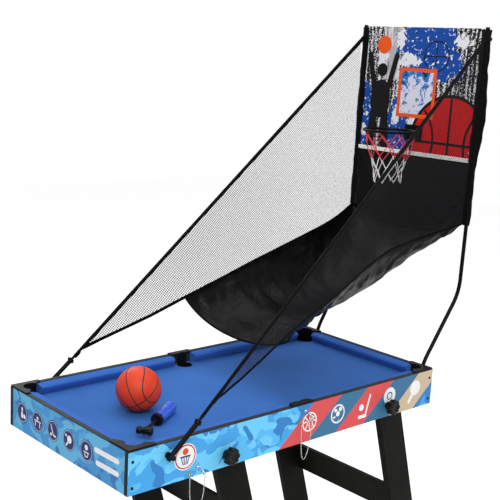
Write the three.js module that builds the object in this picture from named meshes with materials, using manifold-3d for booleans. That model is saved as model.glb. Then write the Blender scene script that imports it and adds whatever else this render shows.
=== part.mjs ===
// Basketball hoop machine: a folding-leg games table whose long sides carry a
// tube frame with backboard, rim, side nets and a cloth ball-return chute.
// Millimetres, +Z up. Pieces are drawn in the table's own frame: x runs along the long
// side from left (0, the front end) to right (the hoop end), y from near (0) to far,
// and z = 0 is the rail tops. The group is then moved so that the origin is the centre
// of the overall footprint, on the floor.
import * as THREE from 'three';
import { mergeVertices } from 'three/addons/utils/BufferGeometryUtils.js';
import Module from 'manifold-3d';

const wasm = await Module();
wasm.setup();

// ---------- driving dimensions ----------
const LENGTH = 1220;
const WIDTH = 600;
const MID_Y = WIDTH / 2;
const APRON_H = 120;
const APRON_T = 15;
const INSIDE = APRON_T + 0.3;    // inner apron face plus the gap
const FLOOR = -810;
const GAP = 0.3;                 // between pieces that rest on each other
const BED_TOP = -33;
const BED_BOTTOM = BED_TOP - 12;

const KNOB_Z = -81;
const POST_W = 106;              // along x
const POST_T = 23;
const POST_TOP = -52;
const RAKE = 0.30;               // dx of a leg post per -dz
// postX: left edge of the posts at knob height; outerY: post face towards the near apron
const LEGS = {
  left: { postX: 308, outerY: 39.5, knobX: 324, panelTop: -322, panelH: 105 },
  right: { postX: 972, outerY: APRON_T + 0.6, knobX: 998, panelTop: -440, panelH: 112 },
};
LEGS.left.studEnd = LEGS.left.outerY - GAP;
LEGS.right.studEnd = LEGS.right.outerY + POST_T - 3;
const PIVOT_X = 390;             // hidden hinge bolt of the left leg frame
const PIVOT_Z = -84;

// lock pins and the eye screws of their chains, as x and z on the near apron
const LOCKS = {
  left: { pin: [228, -96], pinEnd: 14.5, holeEnd: APRON_T + 1, eye: [196, -107], drop: 118 },
  right: { pin: [625, -22], pinEnd: 12, holeEnd: 13, eye: [606, -53], drop: 112 },
};

// hoop frame, near side
const LOWER_TUBE_R = 6.8;
const UPPER_TUBE_R = 4.2;
const UPRIGHT_R = 6.5;
const FOOT = [123, -15, -36];    // foot bolt of the front tube
const COLLAR = [211, -12, 38];   // where the upper tube enters the lower one
const APEX = [1397, 38, 1077];   // where the front tube meets the upright
const UPRIGHT = [[1228, 53, -92], [1228, 53, -8], [1385, 43, 231], [1400, 38, 1113]];
const RIM_CENTRE = [1268, MID_Y, 757];
const RIM_R = 91.5;
const BOARD_T = 5;

// hem line of the side nets and chute: x, half-width from the middle, z
const HEM = [
  [276, 305, 84], [376, 285, 116], [476, 265, 153], [597, 242, 204], [680, 230, 235],
  [761, 224, 263], [845, 213, 296], [905, 202, 320], [973, 190, 346], [1056, 180, 376],
  [1104, 178, 391], [1186, 187, 412], [1261, 205, 431], [1342, 232, 454], [1378, 246, 464],
];
// belly of the chute: x, depth below the hem line
const BELLY = [
  [597, 106], [800, 108], [1000, 158], [1100, 162], [1250, 118], [1320, 88], [1380, 50],
];

// ---------- solids ----------
const vec = (point) => new THREE.Vector3(...point);
const lerp = (a, b, t) => a + (b - a) * t;
const subtract = (body, ...tools) => tools.reduce((result, tool) => result.subtract(tool), body);
const union = (body, ...others) => others.reduce((result, other) => result.add(other), body);
const mirrorX = (body) => body.mirror([1, 0, 0]).translate([LENGTH, 0, 0]);
const mirrorY = (body) => body.mirror([0, 1, 0]).translate([0, WIDTH, 0]);

function solid(geometry) {
  const bare = geometry.index ? geometry.toNonIndexed() : geometry.clone();
  for (const key of Object.keys(bare.attributes)) {
    if (key !== 'position') bare.deleteAttribute(key);
  }
  const merged = mergeVertices(bare, 1e-4);
  return new wasm.Manifold(new wasm.Mesh({
    numProp: 3,
    vertProperties: new Float32Array(merged.attributes.position.array),
    triVerts: new Uint32Array(merged.index.array),
  }));
}

function indexedGeometry(positions, indices) {
  const geometry = new THREE.BufferGeometry();
  geometry.setAttribute('position', new THREE.BufferAttribute(new Float32Array(positions), 3));
  geometry.setIndex(new THREE.BufferAttribute(new Uint32Array(indices), 1));
  geometry.computeVertexNormals();
  return geometry;
}

function solidGeometry(body) {
  const mesh = body.getMesh();
  return indexedGeometry(mesh.vertProperties, mesh.triVerts);
}

const boxGeometry = (x0, x1, y0, y1, z0, z1) => new THREE.BoxGeometry(x1 - x0, y1 - y0, z1 - z0)
  .translate((x0 + x1) / 2, (y0 + y1) / 2, (z0 + z1) / 2);
const box = (...bounds) => solid(boxGeometry(...bounds));

// round bar between two points, tapering when endRadius is given
function rodGeometry(start, end, radius, segments = 16, endRadius = radius) {
  const from = vec(start);
  const to = vec(end);
  const axis = to.clone().sub(from);
  const geometry = new THREE.CylinderGeometry(endRadius, radius, axis.length(), segments);
  const up = new THREE.Vector3(0, 1, 0);
  geometry.applyQuaternion(new THREE.Quaternion().setFromUnitVectors(up, axis.normalize()));
  const centre = from.add(to).multiplyScalar(0.5);
  return geometry.translate(centre.x, centre.y, centre.z);
}
const rod = (...args) => solid(rodGeometry(...args));
const rodY = (x, z, y0, y1, radius, segments) => rod([x, y0, z], [x, y1, z], radius, segments);
const rodZ = (x, y, z0, z1, radius) => rod([x, y, z0], [x, y, z1], radius, 20);

function direction(from, to) {
  return vec(to).sub(vec(from)).normalize();
}
function along(start, unit, distance) {
  return vec(start).addScaledVector(unit, distance).toArray();
}

function extrude(outline, depth) {
  const shape = new THREE.Shape(outline.map(([a, b]) => new THREE.Vector2(a, b)));
  return new THREE.ExtrudeGeometry(shape, { depth, bevelEnabled: false });
}
// outlines in y,z; x,z; and x,y
const prismX = (outline, x0, x1) => solid(
  extrude(outline, x1 - x0).rotateX(Math.PI / 2).rotateZ(Math.PI / 2).translate(x0, 0, 0));
const prismY = (outline, y0, y1) => solid(
  extrude(outline, y1 - y0).rotateX(Math.PI / 2).translate(0, y1, 0));
const prismZ = (outline, z0, z1) => solid(extrude(outline, z1 - z0).translate(0, 0, z0));

// ring whose axis lies along x
function ringX(x, y, z, radius, wireRadius, segments) {
  const torus = new THREE.TorusGeometry(radius, wireRadius, 5, segments);
  return solid(torus.rotateY(Math.PI / 2).translate(x, y, z));
}

// round bar swept through a list of vectors, closed at both ends
function sweep(path, radius, segments) {
  const last = path.length - 1;
  const positions = [];
  const indices = [];
  const tangents = path.map((_, i) => path[Math.min(i + 1, last)].clone()
    .sub(path[Math.max(i - 1, 0)]).normalize());
  const side = new THREE.Vector3(0, 1, 0);
  if (Math.abs(side.dot(tangents[0])) > 0.9) side.set(1, 0, 0);
  path.forEach((point, i) => {
    side.addScaledVector(tangents[i], -side.dot(tangents[i])).normalize();
    const other = tangents[i].clone().cross(side);
    for (let k = 0; k < segments; k++) {
      const angle = (2 * Math.PI * k) / segments;
      positions.push(...point.clone().addScaledVector(side, radius * Math.cos(angle))
        .addScaledVector(other, radius * Math.sin(angle)));
    }
  });
  for (let i = 0; i < last; i++) {
    for (let k = 0; k < segments; k++) {
      const a = i * segments + k;
      const b = i * segments + ((k + 1) % segments);
      indices.push(a, b, b + segments, a, b + segments, a + segments);
    }
  }
  const end = last * segments;
  for (let k = 1; k < segments - 1; k++) {
    indices.push(0, k + 1, k, end, end + k, end + k + 1);
  }
  return indexedGeometry(positions, indices);
}

// polyline with its corners rounded
function roundedPath(points, radius, steps) {
  const path = [vec(points[0])];
  for (let i = 1; i < points.length - 1; i++) {
    const corner = vec(points[i]);
    const [before, after] = [points[i - 1], points[i + 1]].map((neighbour) => {
      const arm = vec(neighbour).sub(corner);
      const reach = Math.min(radius, arm.length() * 0.45);
      return corner.clone().addScaledVector(arm.normalize(), reach);
    });
    path.push(...new THREE.QuadraticBezierCurve3(before, corner, after).getPoints(steps));
  }
  path.push(vec(points.at(-1)));
  return path;
}

// closed cloth sheet about a grid of points; pointAt takes u and v from 0 to 1
function sheet(rows, columns, pointAt) {
  const thickness = 2;
  const points = Array.from({ length: rows + 1 }, (_, i) => (
    Array.from({ length: columns + 1 }, (__, j) => vec(pointAt(i / rows, j / columns)))));
  const normalAt = (i, j) => {
    const down = points[Math.min(i + 1, rows)][j].clone().sub(points[Math.max(i - 1, 0)][j]);
    const over = points[i][Math.min(j + 1, columns)].clone().sub(points[i][Math.max(j - 1, 0)]);
    return down.cross(over).normalize();
  };
  const positions = [];
  for (const offset of [thickness / 2, -thickness / 2]) {
    for (let i = 0; i <= rows; i++) {
      for (let j = 0; j <= columns; j++) {
        positions.push(...points[i][j].clone().addScaledVector(normalAt(i, j), offset));
      }
    }
  }
  const at = (face, i, j) => (face * (rows + 1) + i) * (columns + 1) + j;
  const indices = [];
  const quad = (a, b, c, d) => indices.push(a, b, c, a, c, d);
  for (let i = 0; i < rows; i++) {
    for (let j = 0; j < columns; j++) {
      quad(at(0, i, j), at(0, i + 1, j), at(0, i + 1, j + 1), at(0, i, j + 1));
      quad(at(1, i, j), at(1, i, j + 1), at(1, i + 1, j + 1), at(1, i + 1, j));
    }
  }
  // edges
  for (let i = 0; i < rows; i++) {
    const j = columns;
    quad(at(0, i, 0), at(1, i, 0), at(1, i + 1, 0), at(0, i + 1, 0));
    quad(at(0, i + 1, j), at(1, i + 1, j), at(1, i, j), at(0, i, j));
  }
  for (let j = 0; j < columns; j++) {
    const i = rows;
    quad(at(0, 0, j + 1), at(1, 0, j + 1), at(1, 0, j), at(0, 0, j));
    quad(at(0, i, j), at(1, i, j), at(1, i, j + 1), at(0, i, j + 1));
  }
  return indexedGeometry(positions, indices);
}

// columns of a station table after the first, interpolated at x
function stationAt(table, x) {
  let i = 0;
  while (i < table.length - 2 && table[i + 1][0] < x) i++;
  const [start, end] = [table[i], table[i + 1]];
  const t = THREE.MathUtils.clamp((x - start[0]) / (end[0] - start[0]), 0, 1);
  return start.slice(1).map((value, k) => lerp(value, end[k + 1], t));
}

// ---------- materials ----------
const FINISHES = {
  print: { color: 0x5cbcf0, roughness: 0.45 },
  felt: { color: 0x3f6fb5, roughness: 0.95 },
  cushion: { color: 0x3a7fd0, roughness: 0.9 },
  plastic: { color: 0x141416, roughness: 0.4 },
  leg: { color: 0x121211, roughness: 0.55 },
  tube: { color: 0x151517, roughness: 0.35, metalness: 0.3 },
  brass: { color: 0xd9a53a, roughness: 0.3, metalness: 1 },
  chrome: { color: 0xc9ccd0, roughness: 0.2, metalness: 1 },
  steel: { color: 0x8d9094, roughness: 0.35, metalness: 1 },
  net: { color: 0xd8d9dd, roughness: 0.9 },
  cloth: { color: 0x16171c, roughness: 0.6 },
  board: { color: 0x1d59b8, roughness: 0.4 },
  hoop: { color: 0x121214, roughness: 0.4, metalness: 0.2 },
  hoopNet: { color: 0xd94a55, roughness: 0.9 },
  ball: { color: 0xe3502a, roughness: 0.6 },
  pump: { color: 0x2c55c4, roughness: 0.35 },
  wood: { color: 0x9a7c58, roughness: 0.8 },
};
const materials = Object.fromEntries(Object.entries(FINISHES)
  .map(([name, finish]) => [name, new THREE.MeshStandardMaterial(finish)]));

const group = new THREE.Group();
group.name = 'basketball_hoop_machine';

function put(name, shape, finish) {
  const geometry = shape.isBufferGeometry ? shape : solidGeometry(shape);
  const mesh = new THREE.Mesh(geometry, materials[finish]);
  mesh.name = name;
  group.add(mesh);
}
function putPair(name, near, finish) {
  put(`${name}_near`, near, finish);
  put(`${name}_far`, mirrorY(near), finish);
}

// ---------- table box ----------
function addAprons() {
  const plain = subtract(
    box(0, LENGTH, 0, APRON_T, -APRON_H, 0),
    rodY(LEGS.left.knobX, KNOB_Z, -1, APRON_T + 1, 5),
    rodY(LEGS.right.knobX, KNOB_Z, -1, APRON_T + 1, 5),
    rodY(FOOT[0], FOOT[2], -1, 13.5, 4.4),
    rodY(PIVOT_X, PIVOT_Z, 5, APRON_T + 1, 4.4),
  );
  const lockHoles = Object.values(LOCKS).flatMap(({ pin, holeEnd, eye }) => [
    rodY(...pin, -1, holeEnd, 3.4),
    rodY(...eye, -1, 9.5, 1.9, 10),
  ]);
  put('apron_near', subtract(plain, ...lockHoles), 'print');
  put('apron_far', mirrorY(plain), 'print');
  const endSpan = [INSIDE, WIDTH - INSIDE, -APRON_H, 0];
  put('apron_left', boxGeometry(0.5, APRON_T, ...endSpan), 'print');
  put('apron_right', boxGeometry(LENGTH - APRON_T, LENGTH - 0.5, ...endSpan), 'print');
}

const CORNER_INSET = 47;         // corner pocket centre from each edge
const CUP_R = 30.5;
const CUP_BORE_R = 27;
const SIDE_X = 617;
const SIDE_Y = 42;
const SIDE_R = 25.5;
const SIDE_BORE_R = 22;
const CAP_TOP = 4;
const CUP_BOTTOM = -74;
const CUP_FLOOR = -70.5;
const THROAT_BOTTOM = BED_TOP + 0.5;

// clears the six pockets out of a body
function cutPockets(body, top, clearance) {
  const corners = [CORNER_INSET, WIDTH - CORNER_INSET].flatMap((y) => (
    [CORNER_INSET, LENGTH - CORNER_INSET].map((x) => rodZ(x, y, -60, top, CUP_R + clearance))));
  const sides = [SIDE_Y, WIDTH - SIDE_Y].map((y) => (
    rodZ(SIDE_X, y, -60, top, SIDE_R + clearance)));
  return subtract(body, ...corners, ...sides);
}

function addBed() {
  const span = [INSIDE, LENGTH - INSIDE];
  const board = box(...span, INSIDE, WIDTH - INSIDE, BED_BOTTOM, BED_TOP);
  put('bed_board', cutPockets(board, 0, 0.8), 'felt');
  const battenTop = BED_BOTTOM - GAP;
  const batten = boxGeometry(...span, MID_Y - 12, MID_Y + 12, battenTop - 22, battenTop);
  put('bed_batten', batten, 'wood');
}

// cap plate over the corner, U-shaped throat and a cup below the bed
function cornerPocket() {
  const steps = 10;
  const [arcStart, arcEnd] = [-0.66, 2.23];
  const arc = Array.from({ length: steps + 1 }, (_, k) => {
    const angle = arcStart + ((arcEnd - arcStart) * k) / steps;
    return [CORNER_INSET + CUP_R * Math.cos(angle), CORNER_INSET + CUP_R * Math.sin(angle)];
  });
  const plate = [
    [1, 1], [86, 1], [90, 5], [90, 15], [77, 21],
    ...arc,
    [21, 77], [15, 90], [5, 90], [1, 86],
  ];
  const throatH = 60;
  // throat open to the table above the playing surface
  const throat = new THREE.BoxGeometry(130, 2 * CUP_R + 5, throatH)
    .translate(67, 0, 0)
    .rotateZ(Math.PI / 4)
    .translate(CORNER_INSET, CORNER_INSET, THROAT_BOTTOM + throatH / 2);
  return subtract(
    union(prismZ(plate, GAP, CAP_TOP),
      rodZ(CORNER_INSET, CORNER_INSET, CUP_BOTTOM, CAP_TOP, CUP_R)),
    rodZ(CORNER_INSET, CORNER_INSET, CUP_FLOOR, 10, CUP_BORE_R),
    solid(throat),
  );
}

function sidePocket() {
  const plate = [[-43, 1], [43, 1], [43, 17], [35, 24], [-35, 24], [-43, 17]]
    .map(([x, y]) => [SIDE_X + x, y]);
  return subtract(
    union(prismZ(plate, GAP, CAP_TOP), rodZ(SIDE_X, SIDE_Y, CUP_BOTTOM, CAP_TOP, SIDE_R)),
    rodZ(SIDE_X, SIDE_Y, CUP_FLOOR, 10, SIDE_BORE_R),
    box(SIDE_X - 50, SIDE_X + 50, 25, SIDE_Y + 60, THROAT_BOTTOM, 20),
  );
}

function addPockets() {
  const corner = cornerPocket();
  putPair('pocket_left', corner, 'plastic');
  putPair('pocket_right', mirrorX(corner), 'plastic');
  putPair('pocket_side', sidePocket(), 'plastic');
}

// rubber cushions with a nose, standing on the bed against the aprons
function addCushions() {
  // distance in from the apron's outer face, z
  const profile = [
    [INSIDE, BED_TOP + GAP], [35, BED_TOP + GAP], [46, -13], [45, -6.5], [INSIDE, -2],
  ];
  const endInset = 76;
  const sideInset = 62;
  const sideGap = 40;            // from the side pocket's centre
  const spans = {
    left: [endInset, SIDE_X - sideGap],
    right: [SIDE_X + sideGap, LENGTH - endInset],
  };
  for (const [end, span] of Object.entries(spans)) {
    const cushion = cutPockets(prismX(profile, ...span), 10, 1);
    put(`cushion_near_${end}`, cushion, 'cushion');
    put(`cushion_far_${end}`, mirrorY(cushion), 'cushion');
  }
  const across = cutPockets(prismY(profile, sideInset, WIDTH - sideInset), 10, 1);
  put('cushion_end_left', across, 'cushion');
  put('cushion_end_right', mirrorX(across), 'cushion');
}

// sockets on the right apron that take the feet of the uprights
function addUprightSockets() {
  const [x, y, z] = UPRIGHT[0];
  const block = box(LENGTH, LENGTH + 20, y - 19, y + 19, -96, -40);
  const bore = rodZ(x, y, z - 0.6, 0, UPRIGHT_R + 1.9);
  putPair('upright_socket', block.subtract(bore), 'plastic');
}

// ---------- lock pins, their eye screws and bead chains ----------
function addEyesAndChains() {
  for (const [side, { pin, eye, drop }] of Object.entries(LOCKS)) {
    const [x, z] = eye;
    const [pinX, pinZ] = pin;
    const screw = union(rodY(x, z, -2.6, 8.5, 1.5, 10), ringX(x, -6.4, z, 4.2, 1.3, 10));
    put(`eye_screw_${side}`, screw, 'brass');
    const hang = new THREE.CatmullRomCurve3([
      [x, -7, z - 7.4],
      [x + 1, -8, z - drop * 0.5],
      [lerp(x, pinX, 0.35), -9, z - drop * 0.95],
      [lerp(x, pinX, 0.68), -17, z - drop * 0.95],
      [pinX - 1, -26, z - drop * 0.5],
      [pinX, -29, pinZ - 21.4],
    ].map(vec));
    put(`pin_chain_${side}`, sweep(hang.getPoints(12), 1.3, 5), 'chrome');
  }
}

function addLockPins() {
  for (const [side, { pin: [x, z], pinEnd }] of Object.entries(LOCKS)) {
    const pin = union(
      rodY(x, z, -4, pinEnd, 3, 14),
      rodY(x, z, -4, -0.6, 5.5, 16),
      rod([x, -2.5, z - 0.3], [x, -30.5, z - 8.4], 3.6, 14),
      ringX(x, -29, z - 13, 5.2, 1.1, 12),
    );
    put(`lock_pin_${side}`, pin, 'chrome');
  }
}

// ---------- star knobs with their clamping studs ----------
function addKnobs() {
  const [steps, lobes, meanR, lobeR] = [32, 8, 22.6, 2.6];
  for (const [side, { knobX, studEnd }] of Object.entries(LEGS)) {
    const star = Array.from({ length: steps }, (_, k) => {
      const angle = (2 * Math.PI * k) / steps;
      const radius = meanR + lobeR * Math.cos(lobes * angle);
      return [knobX + radius * Math.cos(angle), KNOB_Z + radius * Math.sin(angle)];
    });
    const hub = rodY(knobX, KNOB_Z, -15, -0.6, 12, 20);
    const stud = rodY(knobX, KNOB_Z, -2, studEnd, 4, 14);
    putPair(`knob_${side}`, union(prismY(star, -36, -14), hub, stud), 'plastic');
  }
}

// ---------- leg frames ----------
const postLeft = (side, z) => LEGS[side].postX + (KNOB_Z - z) * RAKE;
const postRight = (side, z) => postLeft(side, z) + POST_W;

// raked boards in x,z, cut level at the floor and at the top
function postOutline(side) {
  const left = (z, dx = 0) => [postLeft(side, z) + dx, z];
  const right = (z, dx = 0) => [postRight(side, z) + dx, z];
  const foot = [left(FLOOR), right(FLOOR)];
  if (side === 'left') return [...foot, right(-66), right(POST_TOP, -5), left(POST_TOP)];
  // upper left corner eased so that it swings clear of the bed
  const easedTop = [LEGS.right.knobX - 16, POST_TOP];
  return [...foot, right(POST_TOP), easedTop, left(-64, 4), left(-76)];
}

// board between the two posts, lying in the raked plane flush with their right edges
function legPanel(side) {
  const { panelTop, panelH, outerY } = LEGS[side];
  const slant = Math.hypot(1, RAKE);
  const run = 16 * slant;        // 16 thick, measured along x
  const bottom = panelTop - panelH / slant;
  const y0 = outerY + POST_T + GAP;
  return prismY([
    [postRight(side, bottom) - run, bottom], [postRight(side, bottom), bottom],
    [postRight(side, panelTop), panelTop], [postRight(side, panelTop) - run, panelTop],
  ], y0, WIDTH - y0);
}

function addLegFrames() {
  const bores = {
    left: rodY(PIVOT_X, PIVOT_Z, 30, 70, 4.5),
    right: rodY(LEGS.right.knobX, KNOB_Z, 10, 50, 4.6),
  };
  for (const [side, { outerY }] of Object.entries(LEGS)) {
    const post = prismY(postOutline(side), outerY, outerY + POST_T).subtract(bores[side]);
    putPair(`leg_post_${side}`, post, 'leg');
    put(`leg_panel_${side}`, legPanel(side), 'leg');
  }
}

// hinge bolts of the left frame: head inside, shank through the post into the apron
function addHingeBolts() {
  const postInner = LEGS.left.outerY + POST_T;
  const shank = rodY(PIVOT_X, PIVOT_Z, 6, postInner + 3, 4);
  const head = rodY(PIVOT_X, PIVOT_Z, postInner + 0.5, postInner + 5.5, 7.5, 6);
  putPair('leg_hinge_bolt', shank.add(head), 'steel');
}

// ---------- hoop frame ----------
function addFrameBolts() {
  const [x, , z] = FOOT;
  const shank = rodY(x, z, -26, 12.5, 4, 14);
  const head = rodY(x, z, -29, -22.7, 7.5, 16);
  const spacer = rodY(x, z, -7.4, -0.4, 9, 16);
  putPair('frame_bolt', union(shank, head, spacer), 'plastic');
}

function addFrontTubes(uprightPath) {
  const lowerDir = direction(FOOT, COLLAR);
  const upperDir = direction(COLLAR, APEX);
  const upperRod = (start, end, radius) => (
    rod(along(COLLAR, upperDir, start), along(COLLAR, upperDir, end), radius, 16));
  const [x, y, z] = FOOT;
  const footSlab = (y0, y1) => box(x - 20, x + 20, y0, y1, z - 20, z + 20);
  const lower = subtract(
    union(rod(along(FOOT, lowerDir, -13), COLLAR, LOWER_TUBE_R, 16), upperRod(-6, 6, 9)),
    upperRod(-44, 30, UPPER_TUBE_R + 0.4),
    rodY(x, z, -40, 10, 4.5),
    // keep the foot within 8 either side of its axis
    footSlab(y + 8, 10),
    footSlab(-40, y - 8),
  );
  putPair('front_tube_lower', lower, 'tube');

  // the upright cuts the upper tube's end; the largest part is kept
  const upper = rod(along(COLLAR, upperDir, -36), APEX, UPPER_TUBE_R, 14)
    .subtract(solid(sweep(uprightPath, UPRIGHT_R + 0.5, 16)));
  const [longest] = upper.decompose().sort((a, b) => b.volume() - a.volume());
  putPair('front_tube_upper', longest, 'tube');
}

function addUprights(uprightPath) {
  putPair('upright', solid(sweep(uprightPath, UPRIGHT_R, 10)), 'tube');
}

// cross tube on the right of the uprights, near the top
function addTopRail() {
  const x = 1399.6 + 2 * UPRIGHT_R + GAP;
  const [inset, z] = [30, 1076];
  put('top_rail', rodGeometry([x, inset, z], [x, WIDTH - inset, z], UPRIGHT_R, 14), 'tube');
}

// point on the axis of the near upright's long leaning part
function uprightAt(z) {
  const [, , low, high] = UPRIGHT;
  const t = (z - low[2]) / (high[2] - low[2]);
  return [lerp(low[0], high[0], t), lerp(low[1], high[1], t), z];
}
const uprightX = (z) => uprightAt(z)[0];

// slab leaning with the uprights, between two x offsets from their axis
function leaningSlab(z0, z1, offset0, offset1, halfWidth) {
  return prismY([
    [uprightX(z0) + offset0, z0], [uprightX(z0) + offset1, z0],
    [uprightX(z1) + offset1, z1], [uprightX(z1) + offset0, z1],
  ], MID_Y - halfWidth, MID_Y + halfWidth);
}

function addBackboard() {
  put('backboard', leaningSlab(674, 1109, -BOARD_T / 2, BOARD_T / 2, 249), 'board');
  const sleeve = rod(uprightAt(688), uprightAt(1052), 9.6, 16)
    .subtract(rod(uprightAt(680), uprightAt(1060), 7.3, 16));
  putPair('board_sleeve', sleeve, 'cloth');
}

// ring, two arms and a plate against the board
function addRim() {
  const [x, y, z] = RIM_CENTRE;
  const wireR = 6;
  const plateBack = -BOARD_T / 2 - GAP;
  const ring = solid(new THREE.TorusGeometry(RIM_R, wireR, 8, 32).translate(x, y, z));
  const arms = [-1, 1].map((side) => rod(
    [x + RIM_R - 12, y + side * 30, z],
    [uprightX(z) + plateBack - 2, y + side * 24, z - 2], 4.5, 12));
  const plate = leaningSlab(722, 776, plateBack - 3, plateBack, 38);
  put('rim', union(ring, ...arms, plate), 'hoop');
}

// net as one tapering sleeve hanging from the rim
function addHoopNet() {
  // radius, z
  const profile = [[RIM_R - 8, 746], [RIM_R - 20, 700], [55, 650], [46, 612], [47, 580]];
  const offset = (dr) => profile.map(([radius, z]) => new THREE.Vector2(radius + dr, z));
  const outer = offset(1);
  const loop = [...outer, ...offset(-1).reverse(), outer[0]].reverse();
  const sleeve = new THREE.LatheGeometry(loop, 18).rotateX(Math.PI / 2)
    .translate(RIM_CENTRE[0], RIM_CENTRE[1], 0);
  put('hoop_net', solid(sleeve), 'hoopNet');
}

// ---------- soft goods ----------
const halfTurn = (v) => lerp(-Math.PI / 2, Math.PI / 2, v);

// nets between the front tubes and the hem line
function addSideNets() {
  const net = sheet(13, 3, (u, v) => {
    const x = lerp(286, 1376, u);
    const t = (x - COLLAR[0]) / (APEX[0] - COLLAR[0]);
    const tubeHalf = MID_Y - lerp(COLLAR[1], APEX[1], t);
    const [hemHalf, hemZ] = stationAt(HEM, x);
    const top = lerp(COLLAR[2], APEX[2], t) - 9.5;
    const bottom = Math.min(hemZ + 2, top - 3);
    return [x, MID_Y - lerp(tubeHalf - 1, hemHalf + 3, v), lerp(top, bottom, v)];
  });
  putPair('side_net', solid(net), 'net');
}

function addBallChute() {
  put('ball_chute', sheet(14, 10, (u, v) => {
    const angle = halfTurn(v);
    const sag = Math.cos(angle);
    const x = lerp(597 + 63 * sag, 1380, u);
    const [hemHalf, hemZ] = stationAt(HEM, x);
    const [depth] = stationAt(BELLY, x);
    return [x, MID_Y + Math.sin(angle) * hemHalf, hemZ - 1 - depth * sag];
  }), 'cloth');
}

// cloth from under the backboard down to the chute
function addRearCloth() {
  put('rear_cloth', sheet(2, 10, (u, v) => {
    const angle = halfTurn(v);
    const z = lerp(671, 466 - 48 * Math.cos(angle), u);
    return [uprightX(z) - 3, MID_Y + Math.sin(angle) * 246, z];
  }), 'cloth');
}

// ---------- loose pieces lying on the bed ----------
function addBall() {
  const radius = 66;
  const ball = new THREE.SphereGeometry(radius, 20, 12).rotateX(Math.PI / 2);
  put('ball', ball.translate(240, 295, BED_TOP + GAP + radius), 'ball');
}

function addPump() {
  const radius = 18;
  const z = BED_TOP + GAP + radius;
  const base = [213, 170, z];
  const axis = direction(base, [325, 240, z]);
  const part = (start, end, ...size) => (
    rod(along(base, axis, start), along(base, axis, end), ...size));
  const barrel = subtract(
    union(part(0, 112, radius, 24), part(111, 126, radius - 1, 24, 7), part(125, 136, 3, 12)),
    part(-1, 114, 4.3, 14),
  );
  put('pump_barrel', barrel, 'pump');

  const gripAt = -86;
  const grip = along(base, axis, gripAt);
  const across = new THREE.Vector3(axis.y, -axis.x, 0);
  const wings = [22, -22].map((reach) => rod(grip, along(grip, across, reach), 5.5, 14, 9));
  const handle = union(part(gripAt, 40, 3.6, 14), ...wings, part(gripAt - 6, gripAt + 8, 7, 14));
  put('pump_handle', handle, 'plastic');
}

// ---------- assembly ----------
addAprons();
addBed();
addPockets();
addCushions();
addUprightSockets();
addEyesAndChains();
addKnobs();
addLockPins();
addLegFrames();
addHingeBolts();
addFrameBolts();
const uprightPath = roundedPath(UPRIGHT, 46, 5);
addFrontTubes(uprightPath);
addUprights(uprightPath);
addTopRail();
addBackboard();
addRim();
addHoopNet();
addSideNets();
addBallChute();
addRearCloth();
addBall();
addPump();

// footprint centre to the origin, lowest point to the floor
const bounds = new THREE.Box3();
for (const mesh of group.children) {
  mesh.geometry.computeBoundingBox();
  bounds.union(mesh.geometry.boundingBox);
}
const { min, max } = bounds;
group.position.set(-(min.x + max.x) / 2, -(min.y + max.y) / 2, -min.z);

export default group;
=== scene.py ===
# Basketball hoop machine on a games table: printed aprons, felt bed, folding hoop frame with
# backboard, rim, nets and ball chute, and a loose ball and pump. Shapes are in table
# millimetres: the origin is the near left top corner of the table, x runs right along the
# table, y away across it and z up. Texture coordinates are the same axes in metres.
import math
import bpy
import numpy as np
from mathutils import Matrix, Vector, noise

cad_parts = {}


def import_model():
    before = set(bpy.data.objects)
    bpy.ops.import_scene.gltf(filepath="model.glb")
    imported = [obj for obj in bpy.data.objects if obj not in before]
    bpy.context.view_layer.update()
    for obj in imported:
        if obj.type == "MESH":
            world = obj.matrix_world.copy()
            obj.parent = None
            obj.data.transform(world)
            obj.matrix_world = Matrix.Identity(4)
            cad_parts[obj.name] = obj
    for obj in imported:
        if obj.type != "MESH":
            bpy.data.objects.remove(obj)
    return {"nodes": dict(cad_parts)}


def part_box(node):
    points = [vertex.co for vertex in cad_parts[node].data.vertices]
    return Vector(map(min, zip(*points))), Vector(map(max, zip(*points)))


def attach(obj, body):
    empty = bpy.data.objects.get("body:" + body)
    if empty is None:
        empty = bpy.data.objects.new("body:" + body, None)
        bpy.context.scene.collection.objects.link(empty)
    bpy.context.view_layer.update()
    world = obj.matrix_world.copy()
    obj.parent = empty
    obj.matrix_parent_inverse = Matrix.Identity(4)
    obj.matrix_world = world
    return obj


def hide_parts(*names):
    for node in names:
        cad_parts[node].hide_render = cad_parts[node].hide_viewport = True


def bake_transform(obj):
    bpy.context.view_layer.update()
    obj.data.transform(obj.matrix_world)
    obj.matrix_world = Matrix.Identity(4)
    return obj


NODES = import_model()["nodes"]
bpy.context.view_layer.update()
_low, _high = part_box("apron_near")
ORIGIN = np.array([_low.x, _low.y, _high.z])
SCENE = bpy.context.scene
PI = math.pi

SIDES = ("near", "far")
ENDS = ("left", "right")
TABLE_L = 1220
TABLE_W = 600
MID_Y = TABLE_W / 2
BED_Z = -33
REST_GAP = 0.3                  # clearance under loose things on the bed
HOOP = "hoop_frame"

# camera: place in table mm, and its right, down and forward directions
CAM_AT = np.array([-1356.9, -1897.5, 991.3])
CAM_RIGHT = np.array([0.74464569, -0.66548264, 0.05133859])
CAM_DOWN = np.array([-0.09255044, -0.17912052, -0.97946427])
CAM_FORWARD = np.array([0.66101227, 0.72460244, -0.19497203])


def metres(points):
    """Table millimetres to scene metres."""
    return ORIGIN + np.asarray(points, float) / 1000.0


def srgb(*channels):
    """Linear colour from 0-255 display values."""
    unit_values = [c / 255.0 for c in channels]
    return tuple(c / 12.92 if c <= 0.04045 else ((c + 0.055) / 1.055) ** 2.4
                 for c in unit_values) + (1.0,)


def lerp(a, b, t):
    return a + (b - a) * t


def clamp01(value):
    return min(1, max(0, value))


def unit(vector):
    return vector / np.linalg.norm(vector)


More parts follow.
